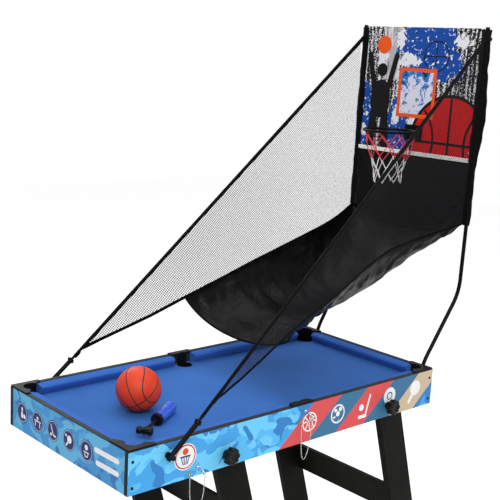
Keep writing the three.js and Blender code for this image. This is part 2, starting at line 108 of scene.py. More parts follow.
def square_to(vector, axis):
    """Unit vector at right angles to the unit axis."""
    return unit(vector - (vector @ axis) * axis)


def ripple(x, y, z):
    """Smooth noise, within about -1 to 1."""
    return noise.noise(Vector((x, y, z)))


# ------------------------------------------------------------------ shader tools
def operator_node(kind, swap=False):
    def build(self, other=0.0):
        values = (other, self) if swap else (self, other)
        return self.shader.math(kind, *values)
    return build


class Val:
    """A node output. Each operator on it adds a Math node; on masks * is "and", | is "or"."""
    def __init__(self, shader, socket):
        self.shader = shader
        self.socket = socket

    __add__ = operator_node("ADD")
    __radd__ = operator_node("ADD", swap=True)
    __sub__ = operator_node("SUBTRACT")
    __rsub__ = operator_node("SUBTRACT", swap=True)
    __mul__ = operator_node("MULTIPLY")
    __truediv__ = operator_node("DIVIDE")
    __gt__ = operator_node("GREATER_THAN")
    __lt__ = operator_node("LESS_THAN")
    __or__ = operator_node("MAXIMUM")
    __abs__ = operator_node("ABSOLUTE")


class Shader:
    """A new material, with a method for each kind of node it uses."""
    def __init__(self, name):
        self.material = bpy.data.materials.new(name)
        self.material.use_nodes = True
        self.tree = self.material.node_tree
        coords = self.add("ShaderNodeTexCoord", {}, "Object")
        self.obj = self.vec("ADD", coords, tuple(-ORIGIN))

    def put(self, socket, value):
        if isinstance(value, Val):
            self.tree.links.new(value.socket, socket)
        else:
            socket.default_value = value

    def add(self, kind, inputs, output=0, **props):
        node = self.tree.nodes.new(kind)
        for key, value in props.items():
            setattr(node, key, value)
        for key, value in inputs.items():
            self.put(node.inputs[key], value)
        return Val(self, node.outputs[output])

    def math(self, kind, a, b=0.0):
        return self.add("ShaderNodeMath", {0: a, 1: b}, operation=kind)

    def vec(self, kind, vector, value):
        return self.add("ShaderNodeVectorMath", {0: vector, 1: value}, operation=kind)

    def scaled(self, x, y, z):
        return self.vec("MULTIPLY", self.obj, (x, y, z))

    def xyz(self, vector=None):
        split = self.add("ShaderNodeSeparateXYZ", {0: vector or self.obj})
        return [Val(self, out) for out in split.socket.node.outputs]

    def noise(self, scale, detail=2.0, rough=0.5, dist=0.0, vec=None):
        return self.add("ShaderNodeTexNoise", {
            "Vector": vec or self.obj, "Scale": scale, "Detail": detail,
            "Roughness": rough, "Distortion": dist})

    def wave(self, scale, dist=0.0, vec=None):
        inputs = {"Vector": vec or self.obj, "Scale": scale, "Distortion": dist}
        return self.add("ShaderNodeTexWave", inputs, 1, bands_direction="DIAGONAL")

    def ramp(self, fac, *stops, steps=False):
        """Colour ramp through (position, colour or grey level) stops."""
        out = self.add("ShaderNodeValToRGB", {0: fac})
        ramp = out.socket.node.color_ramp
        ramp.interpolation = "CONSTANT" if steps else "LINEAR"
        while len(ramp.elements) < len(stops):
            ramp.elements.new(0.5)
        for element, (position, _) in zip(ramp.elements, stops):
            element.position = position
        for element, (_, c) in zip(ramp.elements, stops):
            element.color = c if isinstance(c, tuple) else (c, c, c, 1)
        return out

    def span(self, fac, low=0.0, high=1.0, at=(0.3, 0.7)):
        """Fade from low to high between the two positions."""
        return self.ramp(fac, (at[0], low), (at[1], high))

    def cut(self, fac, at):
        """0 below the position, 1 above it."""
        return self.ramp(fac, (0.0, 0.0), (at, 1.0), steps=True)

    def mix(self, fac, a, b):
        return self.add("ShaderNodeMix", {0: fac, 6: a, 7: b}, 2, data_type="RGBA")

    def bump(self, height, strength, distance, normal=None):
        inputs = {"Height": height, "Strength": strength, "Distance": distance}
        if normal is not None:
            inputs["Normal"] = normal
        return self.add("ShaderNodeBump", inputs)

    def vary(self, color, amount, scale):
        """Small uneven tone over a base colour."""
        darker = tuple(max(0, c * (1 - amount)) for c in color[:3]) + (1,)
        lighter = tuple(min(1, c * (1 + amount)) for c in color[:3]) + (1,)
        patches = self.noise(scale, detail=3.0, rough=0.6)
        return self.mix(self.span(patches), darker, lighter)

    def finish(self, **values):
        """Set the surface's inputs (underscores stand for spaces); returns the material."""
        surface = self.tree.nodes["Principled BSDF"]
        for key, value in values.items():
            self.put(surface.inputs[key.replace("_", " ")], value)
        return self.material


# ------------------------------------------------------------------ materials
def plastic(name, color, rough, grain=0.12, grain_scale=900.0, coat=0.0, spec=0.5):
    t = Shader(name)
    haze = t.noise(scale=25.0, detail=4.0, rough=0.65)
    return t.finish(
        Base_Color=t.vary(color, amount=0.12, scale=40),
        Roughness=t.span(haze, rough - 0.07, rough + 0.1, at=(0.25, 0.75)),
        Coat_Weight=coat, Specular_IOR_Level=spec,
        Normal=t.bump(t.noise(grain_scale, rough=0.6), strength=grain, distance=0.0004))


def metal(name, color, rough):
    t = Shader(name)
    haze = t.noise(scale=60.0, detail=4.0, rough=0.7)
    return t.finish(
        Base_Color=t.vary(color, amount=0.06, scale=120), Metallic=1.0,
        Roughness=t.span(haze, rough * 0.7, rough * 1.8, at=(0.2, 0.8)),
        Normal=t.bump(t.noise(scale=800), strength=0.05, distance=0.0002))


def powder_coat(name, color, rough=0.34):
    t = Shader(name)
    haze = t.noise(scale=18.0, detail=3.0, rough=0.6)
    return t.finish(
        Base_Color=t.vary(color, amount=0.15, scale=20),
        Roughness=t.span(haze, rough - 0.06, rough + 0.08), Specular_IOR_Level=0.10,
        Normal=t.bump(t.noise(scale=1400.0), strength=0.18, distance=0.0003))


def woven(name, color, rough, weave=1500.0, wrinkle=0.35, spec=0.3):
    """Woven cloth from two crossed fine waves, with soft creases."""
    t = Shader(name)
    wave_scale = weave / 6.283
    threads = (t.wave(wave_scale) + t.wave(wave_scale, vec=t.scaled(-1, 1, 1))) * 0.5
    broad = t.noise(scale=22.0, detail=5.0, rough=0.62, dist=1.2)
    soft = t.noise(scale=38.0, detail=2.5, dist=1.1, vec=t.scaled(1.0, 0.5, 1.3))
    creased = t.bump(broad, strength=wrinkle * 0.8, distance=0.010)
    creased = t.bump(soft, strength=wrinkle * 0.7, distance=0.006, normal=creased)
    return t.finish(
        Base_Color=t.vary(color, amount=0.25, scale=14),
        Roughness=t.span(broad, rough - 0.08, rough + 0.12),
        Specular_IOR_Level=spec, Sheen_Weight=0.0, Sheen_Roughness=0.35,
        Normal=t.bump(threads, strength=0.05, distance=0.0002, normal=creased))


def felt(name, color):
    t = Shader(name)
    fibre = t.noise(scale=2600.0, detail=3.0, rough=0.7)
    fuzz = t.noise(scale=420.0, detail=3.0, rough=0.6)
    patches = t.noise(scale=5.0, detail=3.0, rough=0.6)
    darker = tuple(c * 0.93 for c in color[:3]) + (1,)
    lighter = tuple(min(1, c * 1.07) for c in color[:3]) + (1,)
    base = t.mix(t.span(patches), darker, lighter)
    return t.finish(
        Base_Color=t.mix(fibre * 0.05, base, (0.4, 0.6, 0.95, 1)),
        Roughness=0.95, Specular_IOR_Level=0.1,
        Sheen_Weight=0.06, Sheen_Roughness=0.4, Sheen_Tint=(0.4, 0.6, 1, 1),
        Normal=t.bump(fibre + fuzz, strength=0.35, distance=0.0005))


def camouflage(t):
    """Blue camouflage in soft-cornered patches."""
    vec = t.scaled(1.0, 1.0, 1.2)

    def shifted(*offset):
        return t.vec("ADD", vec, offset)
    light = t.noise(scale=13.0, rough=0.34, dist=0.7, vec=vec)
    dark = t.noise(scale=15.0, rough=0.34, dist=0.7, vec=shifted(3.1, 7.7, 1.3))
    middle = t.noise(scale=19.0, detail=1.5, rough=0.3, dist=0.6, vec=shifted(1.7, 2.2, 9.3))
    base = t.mix(t.cut(light, 0.505), srgb(54, 160, 228), srgb(102, 200, 246))
    base = t.mix(t.cut(middle, 0.60), base, srgb(78, 182, 240))
    return t.mix(t.cut(dark, 0.585), base, srgb(30, 124, 196))


def apron_print(name, stripes):
    """Camouflage with a black edge; the long boards also carry slanted colour bands."""
    t = Shader(name)
    x, y, z = t.xyz()
    color = camouflage(t)
    if stripes:
        ramp_start, ramp_length = 0.55, 0.80     # stretch of the slanted axis the ramps cover

        def at(place):
            return (place - ramp_start) / ramp_length
        slanted = (x - z * 1.177 - ramp_start) / ramp_length
        red, teal = srgb(216, 70, 74), srgb(38, 108, 148)
        bands = t.ramp(slanted, (0.0, red), (at(0.782), teal), (at(0.902), red),
                       (at(1.024), teal), (at(1.147), srgb(203, 182, 152)), steps=True)
        banded = t.ramp(slanted, (0.0, 0.0), (at(0.6626), 1.0), (at(1.266), 0.0), steps=True)
        color = t.mix(banded, color, bands)
    else:
        # painted shade: the end boards get a darker copy of the long boards' camouflage, mixed
        # towards dark blue, for the shade that falls on them
        color = t.mix(0.28, color, srgb(8, 88, 146))
    # black edge: the top and bottom, the board ends, and a little round the corners
    nx, ny, nz = t.xyz(t.add("ShaderNodeNewGeometry", {}, "Normal"))
    edge = (z > -0.0026) | (nz > 0.5) | (nz < -0.5)
    if stripes:
        edge = edge | (abs(nx) > 0.6)
        inner = (abs(y - 0.3) > 0.0) * (abs(y - 0.3) < 0.2856)
    else:
        edge = edge | (abs(ny) > 0.6)
        inner = (x > 0.0144) * (x < 1.2056)
    worn = t.noise(scale=160.0, detail=4.0, rough=0.7)
    edge_color = t.mix(t.span(worn, 0.0, 0.35, at=(0.62, 0.72)),
                       (0.0030, 0.0030, 0.0030, 1), (0.020, 0.016, 0.012, 1))
    color = t.mix(inner, color, (0.008, 0.008, 0.008, 1))
    color = t.mix(edge, color, edge_color)
    dots = t.noise(scale=1800.0, detail=1.0)
    return t.finish(
        Base_Color=t.mix(dots * 0.05, color, (1, 1, 1, 1)),
        Specular_IOR_Level=0.2 - edge * 0.15,
        Roughness=t.span(t.noise(scale=14.0, detail=3.0), 0.36, 0.5),
        Normal=t.bump(t.noise(scale=900.0), strength=0.06, distance=0.0003))


def ink(name, color):
    t = Shader(name)
    return t.finish(
        Base_Color=t.vary(color, amount=0.05, scale=60), Specular_IOR_Level=0.2,
        Roughness=t.span(t.noise(scale=40.0, detail=3.0), 0.42 - 0.05, 0.42 + 0.08),
        Normal=t.bump(t.noise(scale=900.0), strength=0.05, distance=0.0003))


# Ragged splashes on the backboard: centre y, z and radii y, z in metres,
# raggedness, and scale of the ragged edge.
BLUE_SPLASHES = [
    (0.275, 1.065, 0.128, 0.085, 0.75, 24.0), (0.250, 0.985, 0.140, 0.065, 0.8, 24.0),
    (0.545, 0.815, 0.042, 0.10, 0.35, 17.0), (0.53, 0.70, 0.05, 0.06, 0.4, 17.0),
    (0.375, 0.755, 0.052, 0.12, 0.4, 17.0)]
WHITE_SPLASHES = [
    (0.352, 0.998, 0.044, 0.020, 2.8, 46.0), (0.125, 1.066, 0.030, 0.022, 2.8, 52.0),
    (0.535, 0.742, 0.020, 0.020, 2.6, 60.0), (0.318, 0.786, 0.024, 0.026, 2.6, 44.0),
    (0.395, 1.070, 0.020, 0.030, 2.8, 52.0), (0.470, 1.000, 0.024, 0.032, 2.8, 50.0),
    (0.388, 0.800, 0.014, 0.034, 2.6, 60.0)]


def board_print():
    """Brushed vertical streaks, blue and white splashes, a light patch inside the target."""
    t = Shader("board_print")
    x, y, z = t.xyz()

    def splashes(rows):
        mask = None
        for center_y, center_z, radius_y, radius_z, ragged, scale in rows:
            dy = (y - center_y) / radius_y
            dz = (z - center_z) / radius_z
            rag = (t.noise(scale, detail=5.0, rough=0.68, dist=0.6) - 0.5) * (3.2 * ragged)
            splash = dy * dy + dz * dz + rag < 1.0
            mask = mask | splash if mask else splash
        return mask

    streak = t.noise(scale=1.0, detail=4.0, rough=0.62, dist=0.15, vec=t.scaled(0, 62, 9))
    grit = t.noise(scale=1.0, detail=3.0, rough=0.66, vec=t.scaled(0, 150, 190))
    sway = (t.noise(scale=1.0, vec=t.scaled(0, 10, 5)) - 0.5) * 0.045
    pitch = 0.0185                      # spacing of the streaks
    wave = t.math("SINE", (y + sway) * (6.2832 / pitch))
    level = (streak - 0.5) * 0.8 + (grit - 0.5) * 1.7
    level = level + 0.5 + wave * 0.11
    darker = (y < 0.20) * (z > 0.93)
    level = level - darker * 0.05
    color = t.ramp(level, (0.0, (0.004, 0.004, 0.004, 1)), (0.55, srgb(218, 218, 222)), steps=True)
    # grey brushed band just beyond the middle
    band = (y > 0.388) * (y < 0.462) * (z > 0.925)
    brushed = t.noise(scale=1.0, detail=3.0, rough=0.6, dist=0.2, vec=t.scaled(0, 55, 6))
    color = t.mix(band, color, t.ramp(
        brushed, (0.0, srgb(120, 120, 122)), (0.44, srgb(168, 166, 168)),
        (0.55, srgb(214, 208, 214)), steps=True))

    white_flecks = t.cut(t.noise(scale=85.0, detail=3.0, rough=0.6, dist=0.4), 0.63)
    blue = t.mix(white_flecks, srgb(10, 66, 150), srgb(228, 232, 240))
    dark_flecks = t.ramp(t.noise(scale=60.0, detail=4.0, rough=0.7, dist=0.9),
                         (0.0, 1.0), (0.36, 0.0), steps=True)
    blue = t.mix(dark_flecks, blue, (0.004, 0.004, 0.005, 1))
    color = t.mix(splashes(BLUE_SPLASHES), color, blue)
    color = t.mix(splashes(WHITE_SPLASHES), color, srgb(216, 217, 222))

    low, height = 0.806, 0.16           # bottom and height of the target's inside
    inside = ((y > 0.225) * (y < 0.384)) * ((z > low) * (z < 0.966))
    rise = ((z - low) / height - 0.55) * 0.16
    mottle = t.noise(scale=24.0, detail=5.0, rough=0.70, dist=0.9) - rise
    color = t.mix(inside, color, t.ramp(
        mottle, (0.0, (0.01, 0.012, 0.02, 1)), (0.345, srgb(36, 112, 186)),
        (0.47, srgb(206, 206, 220)), (0.64, srgb(110, 116, 132)),
        (0.68, (0.008, 0.008, 0.01, 1)), steps=True))
    # brown behind the board's leaning middle plane
    middle = 1.3928 + (z - 0.682) / 0.425 * 0.0072
    behind = x > middle + 0.0004
    fibre = t.noise(scale=220.0, detail=4.0, rough=0.7)
    color = t.mix(behind, color, t.span(fibre, srgb(112, 96, 76), srgb(128, 110, 88)))
    return t.finish(
        Base_Color=color, Specular_IOR_Level=0.2,
        Roughness=t.span(t.noise(scale=12.0, detail=3.0), 0.33, 0.46),
        Normal=t.bump(t.noise(scale=700.0), strength=0.05, distance=0.0003))


def ball_rubber():
    t = Shader("ball_rubber")
    pebbles = t.add("ShaderNodeTexVoronoi", {"Vector": t.obj, "Scale": 620.0})
    patches = t.noise(scale=12.0, detail=3.0, rough=0.6)
    color = t.mix(t.span(patches), srgb(202, 50, 22), srgb(216, 64, 32))
    color = t.mix(t.span(pebbles, 0.18, 0.0, at=(0.0, 0.5)), color, srgb(236, 100, 64))
    return t.finish(
        Base_Color=color, Specular_IOR_Level=0.3, Roughness=t.span(patches, 0.42, 0.55),
        Normal=t.bump(pebbles, strength=-0.22, distance=0.0008))


def leg_laminate():
    """Black laminate with a faint long grain."""
    t = Shader("leg_laminate")
    grain = t.noise(scale=1.0, detail=4.0, rough=0.6, dist=0.4, vec=t.scaled(160, 160, 9))
    haze = t.noise(scale=9.0, detail=4.0, rough=0.65)
    return t.finish(
        Base_Color=t.mix(t.span(grain, at=(0.35, 0.7)),
                         (0.0052, 0.0052, 0.0036, 1), (0.0078, 0.0078, 0.0054, 1)),
        Roughness=t.span(haze, 0.45, 0.62), Specular_IOR_Level=0.09,
        Normal=t.bump(grain, strength=0.12, distance=0.0004))


def net_thread():
    t = Shader("net_thread")
    fibre = t.noise(scale=900.0)
    return t.finish(
        Base_Color=t.span(fibre, srgb(18, 18, 20), srgb(34, 34, 37)), Roughness=0.8,
        Specular_IOR_Level=0.15, Normal=t.bump(fibre, strength=0.3, distance=0.0002))


def net_cord():
    """Red upper half, white lower half."""
    t = Shader("net_cord")
    z = t.xyz()[2]
    twist = t.wave(scale=180.0, dist=1.0)
    red = t.mix(twist, srgb(196, 24, 38), srgb(232, 58, 70))
    white = t.mix(twist, srgb(214, 214, 214), srgb(245, 245, 245))
    upper = z + t.noise(scale=30.0, detail=1.0) * 0.02 > 0.672
    return t.finish(
        Base_Color=t.mix(upper, white, red), Roughness=0.7, Sheen_Weight=0.2,
        Normal=t.bump(twist, strength=0.5, distance=0.0005))


BLACK = (0.0045, 0.0045, 0.0050, 1)
MAT = dict(
    print_long=apron_print("apron_print_long", stripes=True),
    print_end=apron_print("apron_print_end", stripes=False),
    felt=felt("bed_felt", srgb(46, 96, 170)),
    cushion=felt("cushion_cloth", srgb(44, 94, 176)),
    plastic=plastic("black_plastic", BLACK, rough=0.42, spec=0.12),
    smooth_plastic=plastic("black_plastic_smooth", BLACK, rough=0.3, grain=0.04, spec=0.2),
    tube=powder_coat("powder_black", (0.0022, 0.0022, 0.0026, 1)),
    rim=powder_coat("powder_rim", (0.0035, 0.0035, 0.0035, 1), rough=0.3),
    chrome=metal("nickel_plate", (0.72, 0.72, 0.74, 1), rough=0.16),
    brass=metal("brass_plate", srgb(236, 188, 70), rough=0.22),
    zinc=metal("zinc_plate", (0.5, 0.51, 0.53, 1), rough=0.35),
    cloth=woven("black_nylon", (0.0024, 0.0024, 0.0032, 1), rough=0.34, spec=0.115),
    binding=woven("black_binding", (0.0026, 0.0026, 0.0030, 1), rough=0.7,
                  weave=2600.0, wrinkle=0.05, spec=0.05),
    sleeve=woven("black_sleeve", (0.0026, 0.0026, 0.0032, 1), rough=0.5,
                 weave=2200.0, wrinkle=0.12, spec=0.06),
    board=board_print(), ball=ball_rubber(), leg=leg_laminate(), net=net_thread(),
    cord=net_cord(),
    pump=plastic("pump_blue_gloss", srgb(44, 88, 206), rough=0.24, grain=0.03, coat=0.3),
    seam=plastic("ball_seam_black", (0.012, 0.011, 0.011, 1), rough=0.6, grain=0.1),
    fibreboard=plastic("raw_fibreboard", srgb(150, 120, 84), rough=0.8, grain=0.3,
                       grain_scale=400),
    ink_black=ink("ink_black", (0.003, 0.003, 0.0032, 1)),
    ink_white=ink("ink_white", srgb(238, 238, 240)),
    ink_orange=ink("ink_orange", srgb(220, 84, 22)),
    ink_red=ink("ink_red", srgb(202, 14, 20)),
    ink_navy=ink("ink_navy", srgb(26, 50, 112)),
    ink_blue=ink("ink_blue", srgb(20, 84, 180)),
    ink_tan=ink("ink_tan", srgb(203, 182, 152)),
    strip=plastic("white_strip", srgb(242, 242, 240), rough=0.35, grain=0.05),
)


# ------------------------------------------------------------------ mesh tools
def link(name, data):
    ob = bpy.data.objects.new(name, data)
    SCENE.collection.objects.link(ob)
    return ob


def mesh(name, parts, mat, body, replaced=(), smooth=38):
    """One object from (vertices, faces) parts; smooth is the sharp-edge angle, 0 for flat."""
    verts, faces, start = [], [], 0
    for part_verts, part_faces in parts:
        part_verts = np.asarray(part_verts, float)
        verts.append(part_verts)
        faces += [[int(i) + start for i in face] for face in part_faces]
        start += len(part_verts)
    me = bpy.data.meshes.new(name)
    me.from_pydata(metres(np.vstack(verts)).tolist(), [], faces)
    me.update()
    me.materials.append(MAT[mat])
    if smooth:
        me.polygons.foreach_set("use_smooth", [True] * len(me.polygons))
        me.set_sharp_from_angle(angle=math.radians(smooth))
    ob = link(name, me)
    if body:
        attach(ob, body)
    if replaced:
        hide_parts(*replaced)
    return ob


def mirrored(parts):
    """Parts moved to the far side, faces turned back the right way out."""
    return [(np.array(v, float) * (1, -1, 1) + (0, TABLE_W, 0), [face[::-1] for face in faces])
            for v, faces in parts]


def pair(name, parts_for, mat, replaced=None, smooth=40, body=HOOP):
    """A near piece and its mirrored far twin; parts_for(far) gives near-side parts."""
    for side in SIDES:
        parts = parts_for(side == "far")
        if side == "far":
            parts = mirrored(parts)
        nodes = (f"{replaced}_{side}",) if replaced else ()
        mesh(f"{name}_{side}", parts, mat, body, nodes, smooth)


def bevel(ob, width, segments=2):
    mod = ob.modifiers.new("bevel", "BEVEL")
    mod.width = width
    mod.segments = segments
    mod.limit_method = "ANGLE"
    mod.angle_limit = math.radians(35)
    mod.harden_normals = True


def weld(ob, distance):
    ob.modifiers.new("weld", "WELD").merge_threshold = distance


def cad(node, mat, width=0.0):
    """Material and softened edges on a CAD node that stays."""
    ob = NODES[node]
    me = ob.data
    me.materials.clear()
    me.materials.append(MAT[mat])
    normals = me.attributes.get("custom_normal")
    if normals:
        me.attributes.remove(normals)
    me.polygons.foreach_set("use_smooth", [width > 0] * len(me.polygons))
    weld(ob, 1e-5)
    if width:
        bevel(ob, width)


def ring_faces(rings, seg, closed=False):
    """Quads between successive rings of seg points, capped unless the row of rings closes."""
    faces = []
    for i in range(rings if closed else rings - 1):
        a, b = i * seg, (i + 1) % rings * seg
        for k in range(seg):
            k2 = (k + 1) % seg
            faces.append([a + k, a + k2, b + k2, b + k])
    if not closed:
        faces.append(list(range(seg))[::-1])
        faces.append([(rings - 1) * seg + k for k in range(seg)])
    return faces


def grid_faces(rows, cols):
    """Quads of an open sheet of rows x cols points."""
    return [[i * cols + j, (i + 1) * cols + j, (i + 1) * cols + j + 1, i * cols + j + 1]
            for i in range(rows - 1) for j in range(cols - 1)]


def sweep(points, radius, seg, tall=None, up=None, closed=False):
    """Tube through points. With tall and up the section is an ellipse, tall along up."""
    P = np.asarray(points, float)
    n = len(P)
    along = np.roll(P, -1, 0) - np.roll(P, 1, 0) if closed else np.gradient(P, axis=0)
    along /= np.linalg.norm(along, axis=1)[:, None]
    across = np.broadcast_to(np.asarray(radius, float), (n,))
    high = across if tall is None else np.broadcast_to(np.asarray(tall, float), (n,))
    u = np.array(up if up is not None else (0, 1, 0.0), float)
    if abs(u @ along[0]) > 0.9:
        u = np.array((1.0, 0, 0))
    u = square_to(u, along[0])
    angle = 2 * PI * np.arange(seg) / seg
    verts = []
    for i in range(n):
        if up is not None:
            u = np.array(up, float)
        u = square_to(u, along[i])
        w = np.cross(along[i], u)
        verts.append(P[i] + high[i] * np.cos(angle)[:, None] * u
                     + across[i] * np.sin(angle)[:, None] * w)
    return np.vstack(verts), ring_faces(n, seg, closed)


def lathe(origin, axis, profile, seg):
    """Closed round body; profile is (distance along axis, radius)."""
    axis = unit(np.asarray(axis, float))
    u = np.array((0, 0, 1.0)) if abs(axis[2]) < 0.9 else np.array((1.0, 0, 0))
    u = square_to(u, axis)
    w = np.cross(axis, u)
    angle = 2 * PI * np.arange(seg) / seg
    ring = np.cos(angle)[:, None] * u + np.sin(angle)[:, None] * w
    origin = np.asarray(origin, float)
    verts = [origin + axis * s + max(r, 0.02) * ring for s, r in profile]
    return np.vstack(verts), ring_faces(len(profile), seg)


def torus(center, ring_r, wire_r, axis, n, seg):
    axis = Vector(axis).normalized()
    turn = Vector((0, 0, 1)).rotation_difference(axis)
    points = []
    for i in range(n):
        angle = 2 * PI * i / n
        spoke = Vector((ring_r * math.cos(angle), ring_r * math.sin(angle), 0))
        points.append(np.array(center) + np.array(turn @ spoke))
    return sweep(points, wire_r, seg, up=tuple(axis), closed=True)


def smooth_curve(points, n, closed=True):
    """Catmull-Rom curve, n steps from point to point."""
    P = np.asarray(points, float)
    N = len(P)
    out = []
    for i in range(N if closed else N - 1):
        p0 = P[(i - 1) % N] if closed or i else P[0]
        p1, p2 = P[i], P[(i + 1) % N]
        p3 = P[(i + 2) % N] if closed or i + 2 < N else P[-1]
        for k in range(n):
            t = k / n
            out.append(0.5 * ((2 * p1) + (-p0 + p2) * t + (2 * p0 - 5 * p1 + 4 * p2 - p3) * t * t
                              + (-p0 + 3 * p1 - 3 * p2 + p3) * t ** 3))
    if not closed:
        out.append(P[-1])
    return np.array(out)


# ------------------------------------------------------------------ printed outlines
def circle(cx, cy, r, n, start=0.0):
    """Circle outline; a start angle leaves a chord from there back to zero."""
    steps = n - 1 if start else n
    angles = [start + (2 * PI - start) * k / steps for k in range(n)]
    return [(cx + r * math.cos(a), cy + r * math.sin(a)) for a in angles]


def ring(cx, cy, outer, inner, n):
    return [circle(cx, cy, outer, n), circle(cx, cy, inner, n)]


def stroke(points, width):
    """Outline of a line with round ends; width is one value or one per point."""
    P = np.asarray(points, float)
    half = np.broadcast_to(np.asarray(width, float), (len(P),)) / 2
    along = np.gradient(P, axis=0)
    along /= np.linalg.norm(along, axis=1)[:, None] + 1e-9
    side = np.stack([-along[:, 1], along[:, 0]], 1)

    def cap(center, direction, r, n=6):
        a = math.atan2(direction[1], direction[0])
        turns = [a + PI / 2 - PI * k / n for k in range(1, n)]
        return [(center[0] + r * math.cos(q), center[1] + r * math.sin(q)) for q in turns]
    left = list(map(tuple, P + side * half[:, None]))
    right = list(map(tuple, (P - side * half[:, None])[::-1]))
    return left + cap(P[-1], along[-1], half[-1]) + right + cap(P[0], -along[0], half[0])


DECALS = {}


def decal(loops, place, ink_name, body="table", slot="camo_print"):
    """Fill 2-D outlines (holes by even-odd) and lay them on a surface by place(u, v)."""
    cu = bpy.data.curves.new("outline", "CURVE")
    cu.dimensions = "2D"
    cu.fill_mode = "BOTH"
    for loop in loops:
        if len(loop) < 3:
            continue
        spline = cu.splines.new("POLY")
        spline.points.add(len(loop) - 1)
        for i, p in enumerate(loop):
            spline.points[i].co = (p[0], p[1], 0, 1)
        spline.use_cyclic_u = True
    ob = link("outline", cu)
    bpy.context.view_layer.update()
    deps = bpy.context.evaluated_depsgraph_get()
    me = bpy.data.meshes.new_from_object(ob.evaluated_get(deps))
    bpy.data.objects.remove(ob)
    verts = [place(v.co[0], v.co[1]) for v in me.vertices]
    faces = [list(p.vertices) for p in me.polygons]
    bpy.data.meshes.remove(me)
    if faces:
        DECALS.setdefault((ink_name, body, slot), []).append((np.array(verts, float), faces))


def build_decals():
    """All outlines of one ink on one body become one piece."""
    for (ink_name, body, slot), parts in DECALS.items():
        mesh(f"print_{ink_name}_{body}", parts, ink_name, body, smooth=0)


def each(layer, ink_name, outlines):
    """One artwork entry per outline: (layer, ink, loops)."""
    return [(layer, ink_name, [outline]) for outline in outlines]


# ------------------------------------------------------------------ table
for side in SIDES:
    cad("apron_" + side, "print_long", 0.0007)
    cad("upright_socket_" + side, "plastic", 0.0016)
    cad("leg_hinge_bolt_" + side, "zinc", 0.0004)
    for end in ENDS:
        cad(f"leg_post_{end}_{side}", "leg", 0.0012)
        cad(f"pocket_{end}_{side}", "plastic", 0.0009)
    cad("pocket_side_" + side, "plastic", 0.0009)
for end in ENDS:
    cad("apron_" + end, "print_end", 0.0006)
    cad("leg_panel_" + end, "leg", 0.001)
cad("bed_board", "felt")
cad("bed_batten", "fibreboard")

# cushion section: distance in from the table's outer face, height
CUSHION_PROFILE = [
    (15.6, -32.4), (34, -32.4), (38, -26.5), (42, -19.5), (45.2, -14), (46.2, -10.9),
    (45.8, -8.2), (43.6, -6.0), (38.5, -4.2), (31, -2.9), (22, -2.1), (15.6, -2.0)]
CUSHION_BACK = 15.6
CUSHION_DEPTH = 30.6
CUSHION_FOOT = -32.4
POCKET_IN, POCKET_R = 47, 31.5      # corner hollow: centre from both outer faces, radius


def cushion(tag, x0, x1, place, length=TABLE_L):
    """Rubber cushion under cloth: rounded nose, crowned top, ends hollowed to the pockets."""
    n = max(8, int((x1 - x0) / 16))
    verts = []
    for i in range(n + 1):
        t = i / n
        from_end = min(t, 1 - t) * n
        ease = 1 - max(0, 1 - from_end / 1.0) ** 2 * 0.10
        for d, z in CUSHION_PROFILE:
            hollow = POCKET_IN + math.sqrt(max(0.0, POCKET_R ** 2 - (POCKET_IN - d) ** 2))
            out = (d - CUSHION_BACK) / CUSHION_DEPTH
            start = max(x0, hollow) if x0 < 100 else x0 + 3 * out * out
            stop = min(x1, length - hollow) if x1 > length - 100 else x1 - 3 * out * out
            x = lerp(start, stop, t)
            uneven = 0.25 * ripple(x * 0.02, d * 0.05, 3.3)
            verts.append(place(
                x, CUSHION_BACK + (d - CUSHION_BACK) * (1 - (1 - ease) * 0.3) + uneven * out,
                CUSHION_FOOT + (z - CUSHION_FOOT) * (1 if ease > 0.999 else 0.985)))
    faces = ring_faces(n + 1, len(CUSHION_PROFILE))
    mesh("rail_cushion_" + tag, [(verts, faces)], "cushion", "table",
         ("cushion_" + tag,), 50)


for side, place in (("near", lambda x, d, z: (x, d, z)),
                    ("far", lambda x, d, z: (x, TABLE_W - d, z))):
    cushion(side + "_left", 76, 577, place)
    cushion(side + "_right", 657, TABLE_L - 76, place)
cushion("end_left", 62, TABLE_W - 62, lambda x, d, z: (d, x, z), TABLE_W)
cushion("end_right", 62, TABLE_W - 62, lambda x, d, z: (TABLE_L - d, x, z), TABLE_W)

# black screws near the ends of the long boards
SCREW = [(-2, 3.0), (0, 4.1), (0.5, 4.3), (1.3, 3.9), (1.9, 2.6), (2.0, 1.6), (1.1, 1.3),
         (1.1, 0.02)]
mesh("apron_screws",
     [lathe((x, y, z), (0, out, 0), SCREW, 20) for y, out in ((0, -1), (TABLE_W, 1))
      for x in (14, TABLE_L - 14) for z in (-29, -100)],
     "smooth_plastic", "table")

# ------------------------------------------------------------------ prints on the table
LIFT = 0.22             # lowest ink above the board
LAYER = 0.12            # between layers of ink


def ball_seams(cx, cy, r, width):
    """Four lines of a ball inside a disc; points are in radii from its centre."""
    lines = [
        [(-1, 0), (-0.5, 0.12), (0, 0.16), (0.5, 0.12), (1, 0)],
        [(0.1, -1), (-0.05, -0.4), (-0.07, 0), (0, 0.5), (0.12, 1)],
        [(-0.75, 0.68), (-0.38, 0.3), (-0.32, -0.15), (-0.6, -0.8)],
        [(0.8, 0.62), (0.45, 0.3), (0.4, -0.2), (0.65, -0.76)]]
    return [stroke([(cx + r * x, cy + r * y) for x, y in line], width) for line in lines]


def field_patches(x, z):
    """A patch in the middle of a field ball and five round it."""
    spots = [(0, 8.2, 0.3)]
    spots += [(17.0, 7.0, 0.3 + 2 * PI * k / 5 + PI / 5) for k in range(5)]
    return [circle(x + d * math.cos(a), z + d * math.sin(a), r, 24, a) for d, r, a in spots]


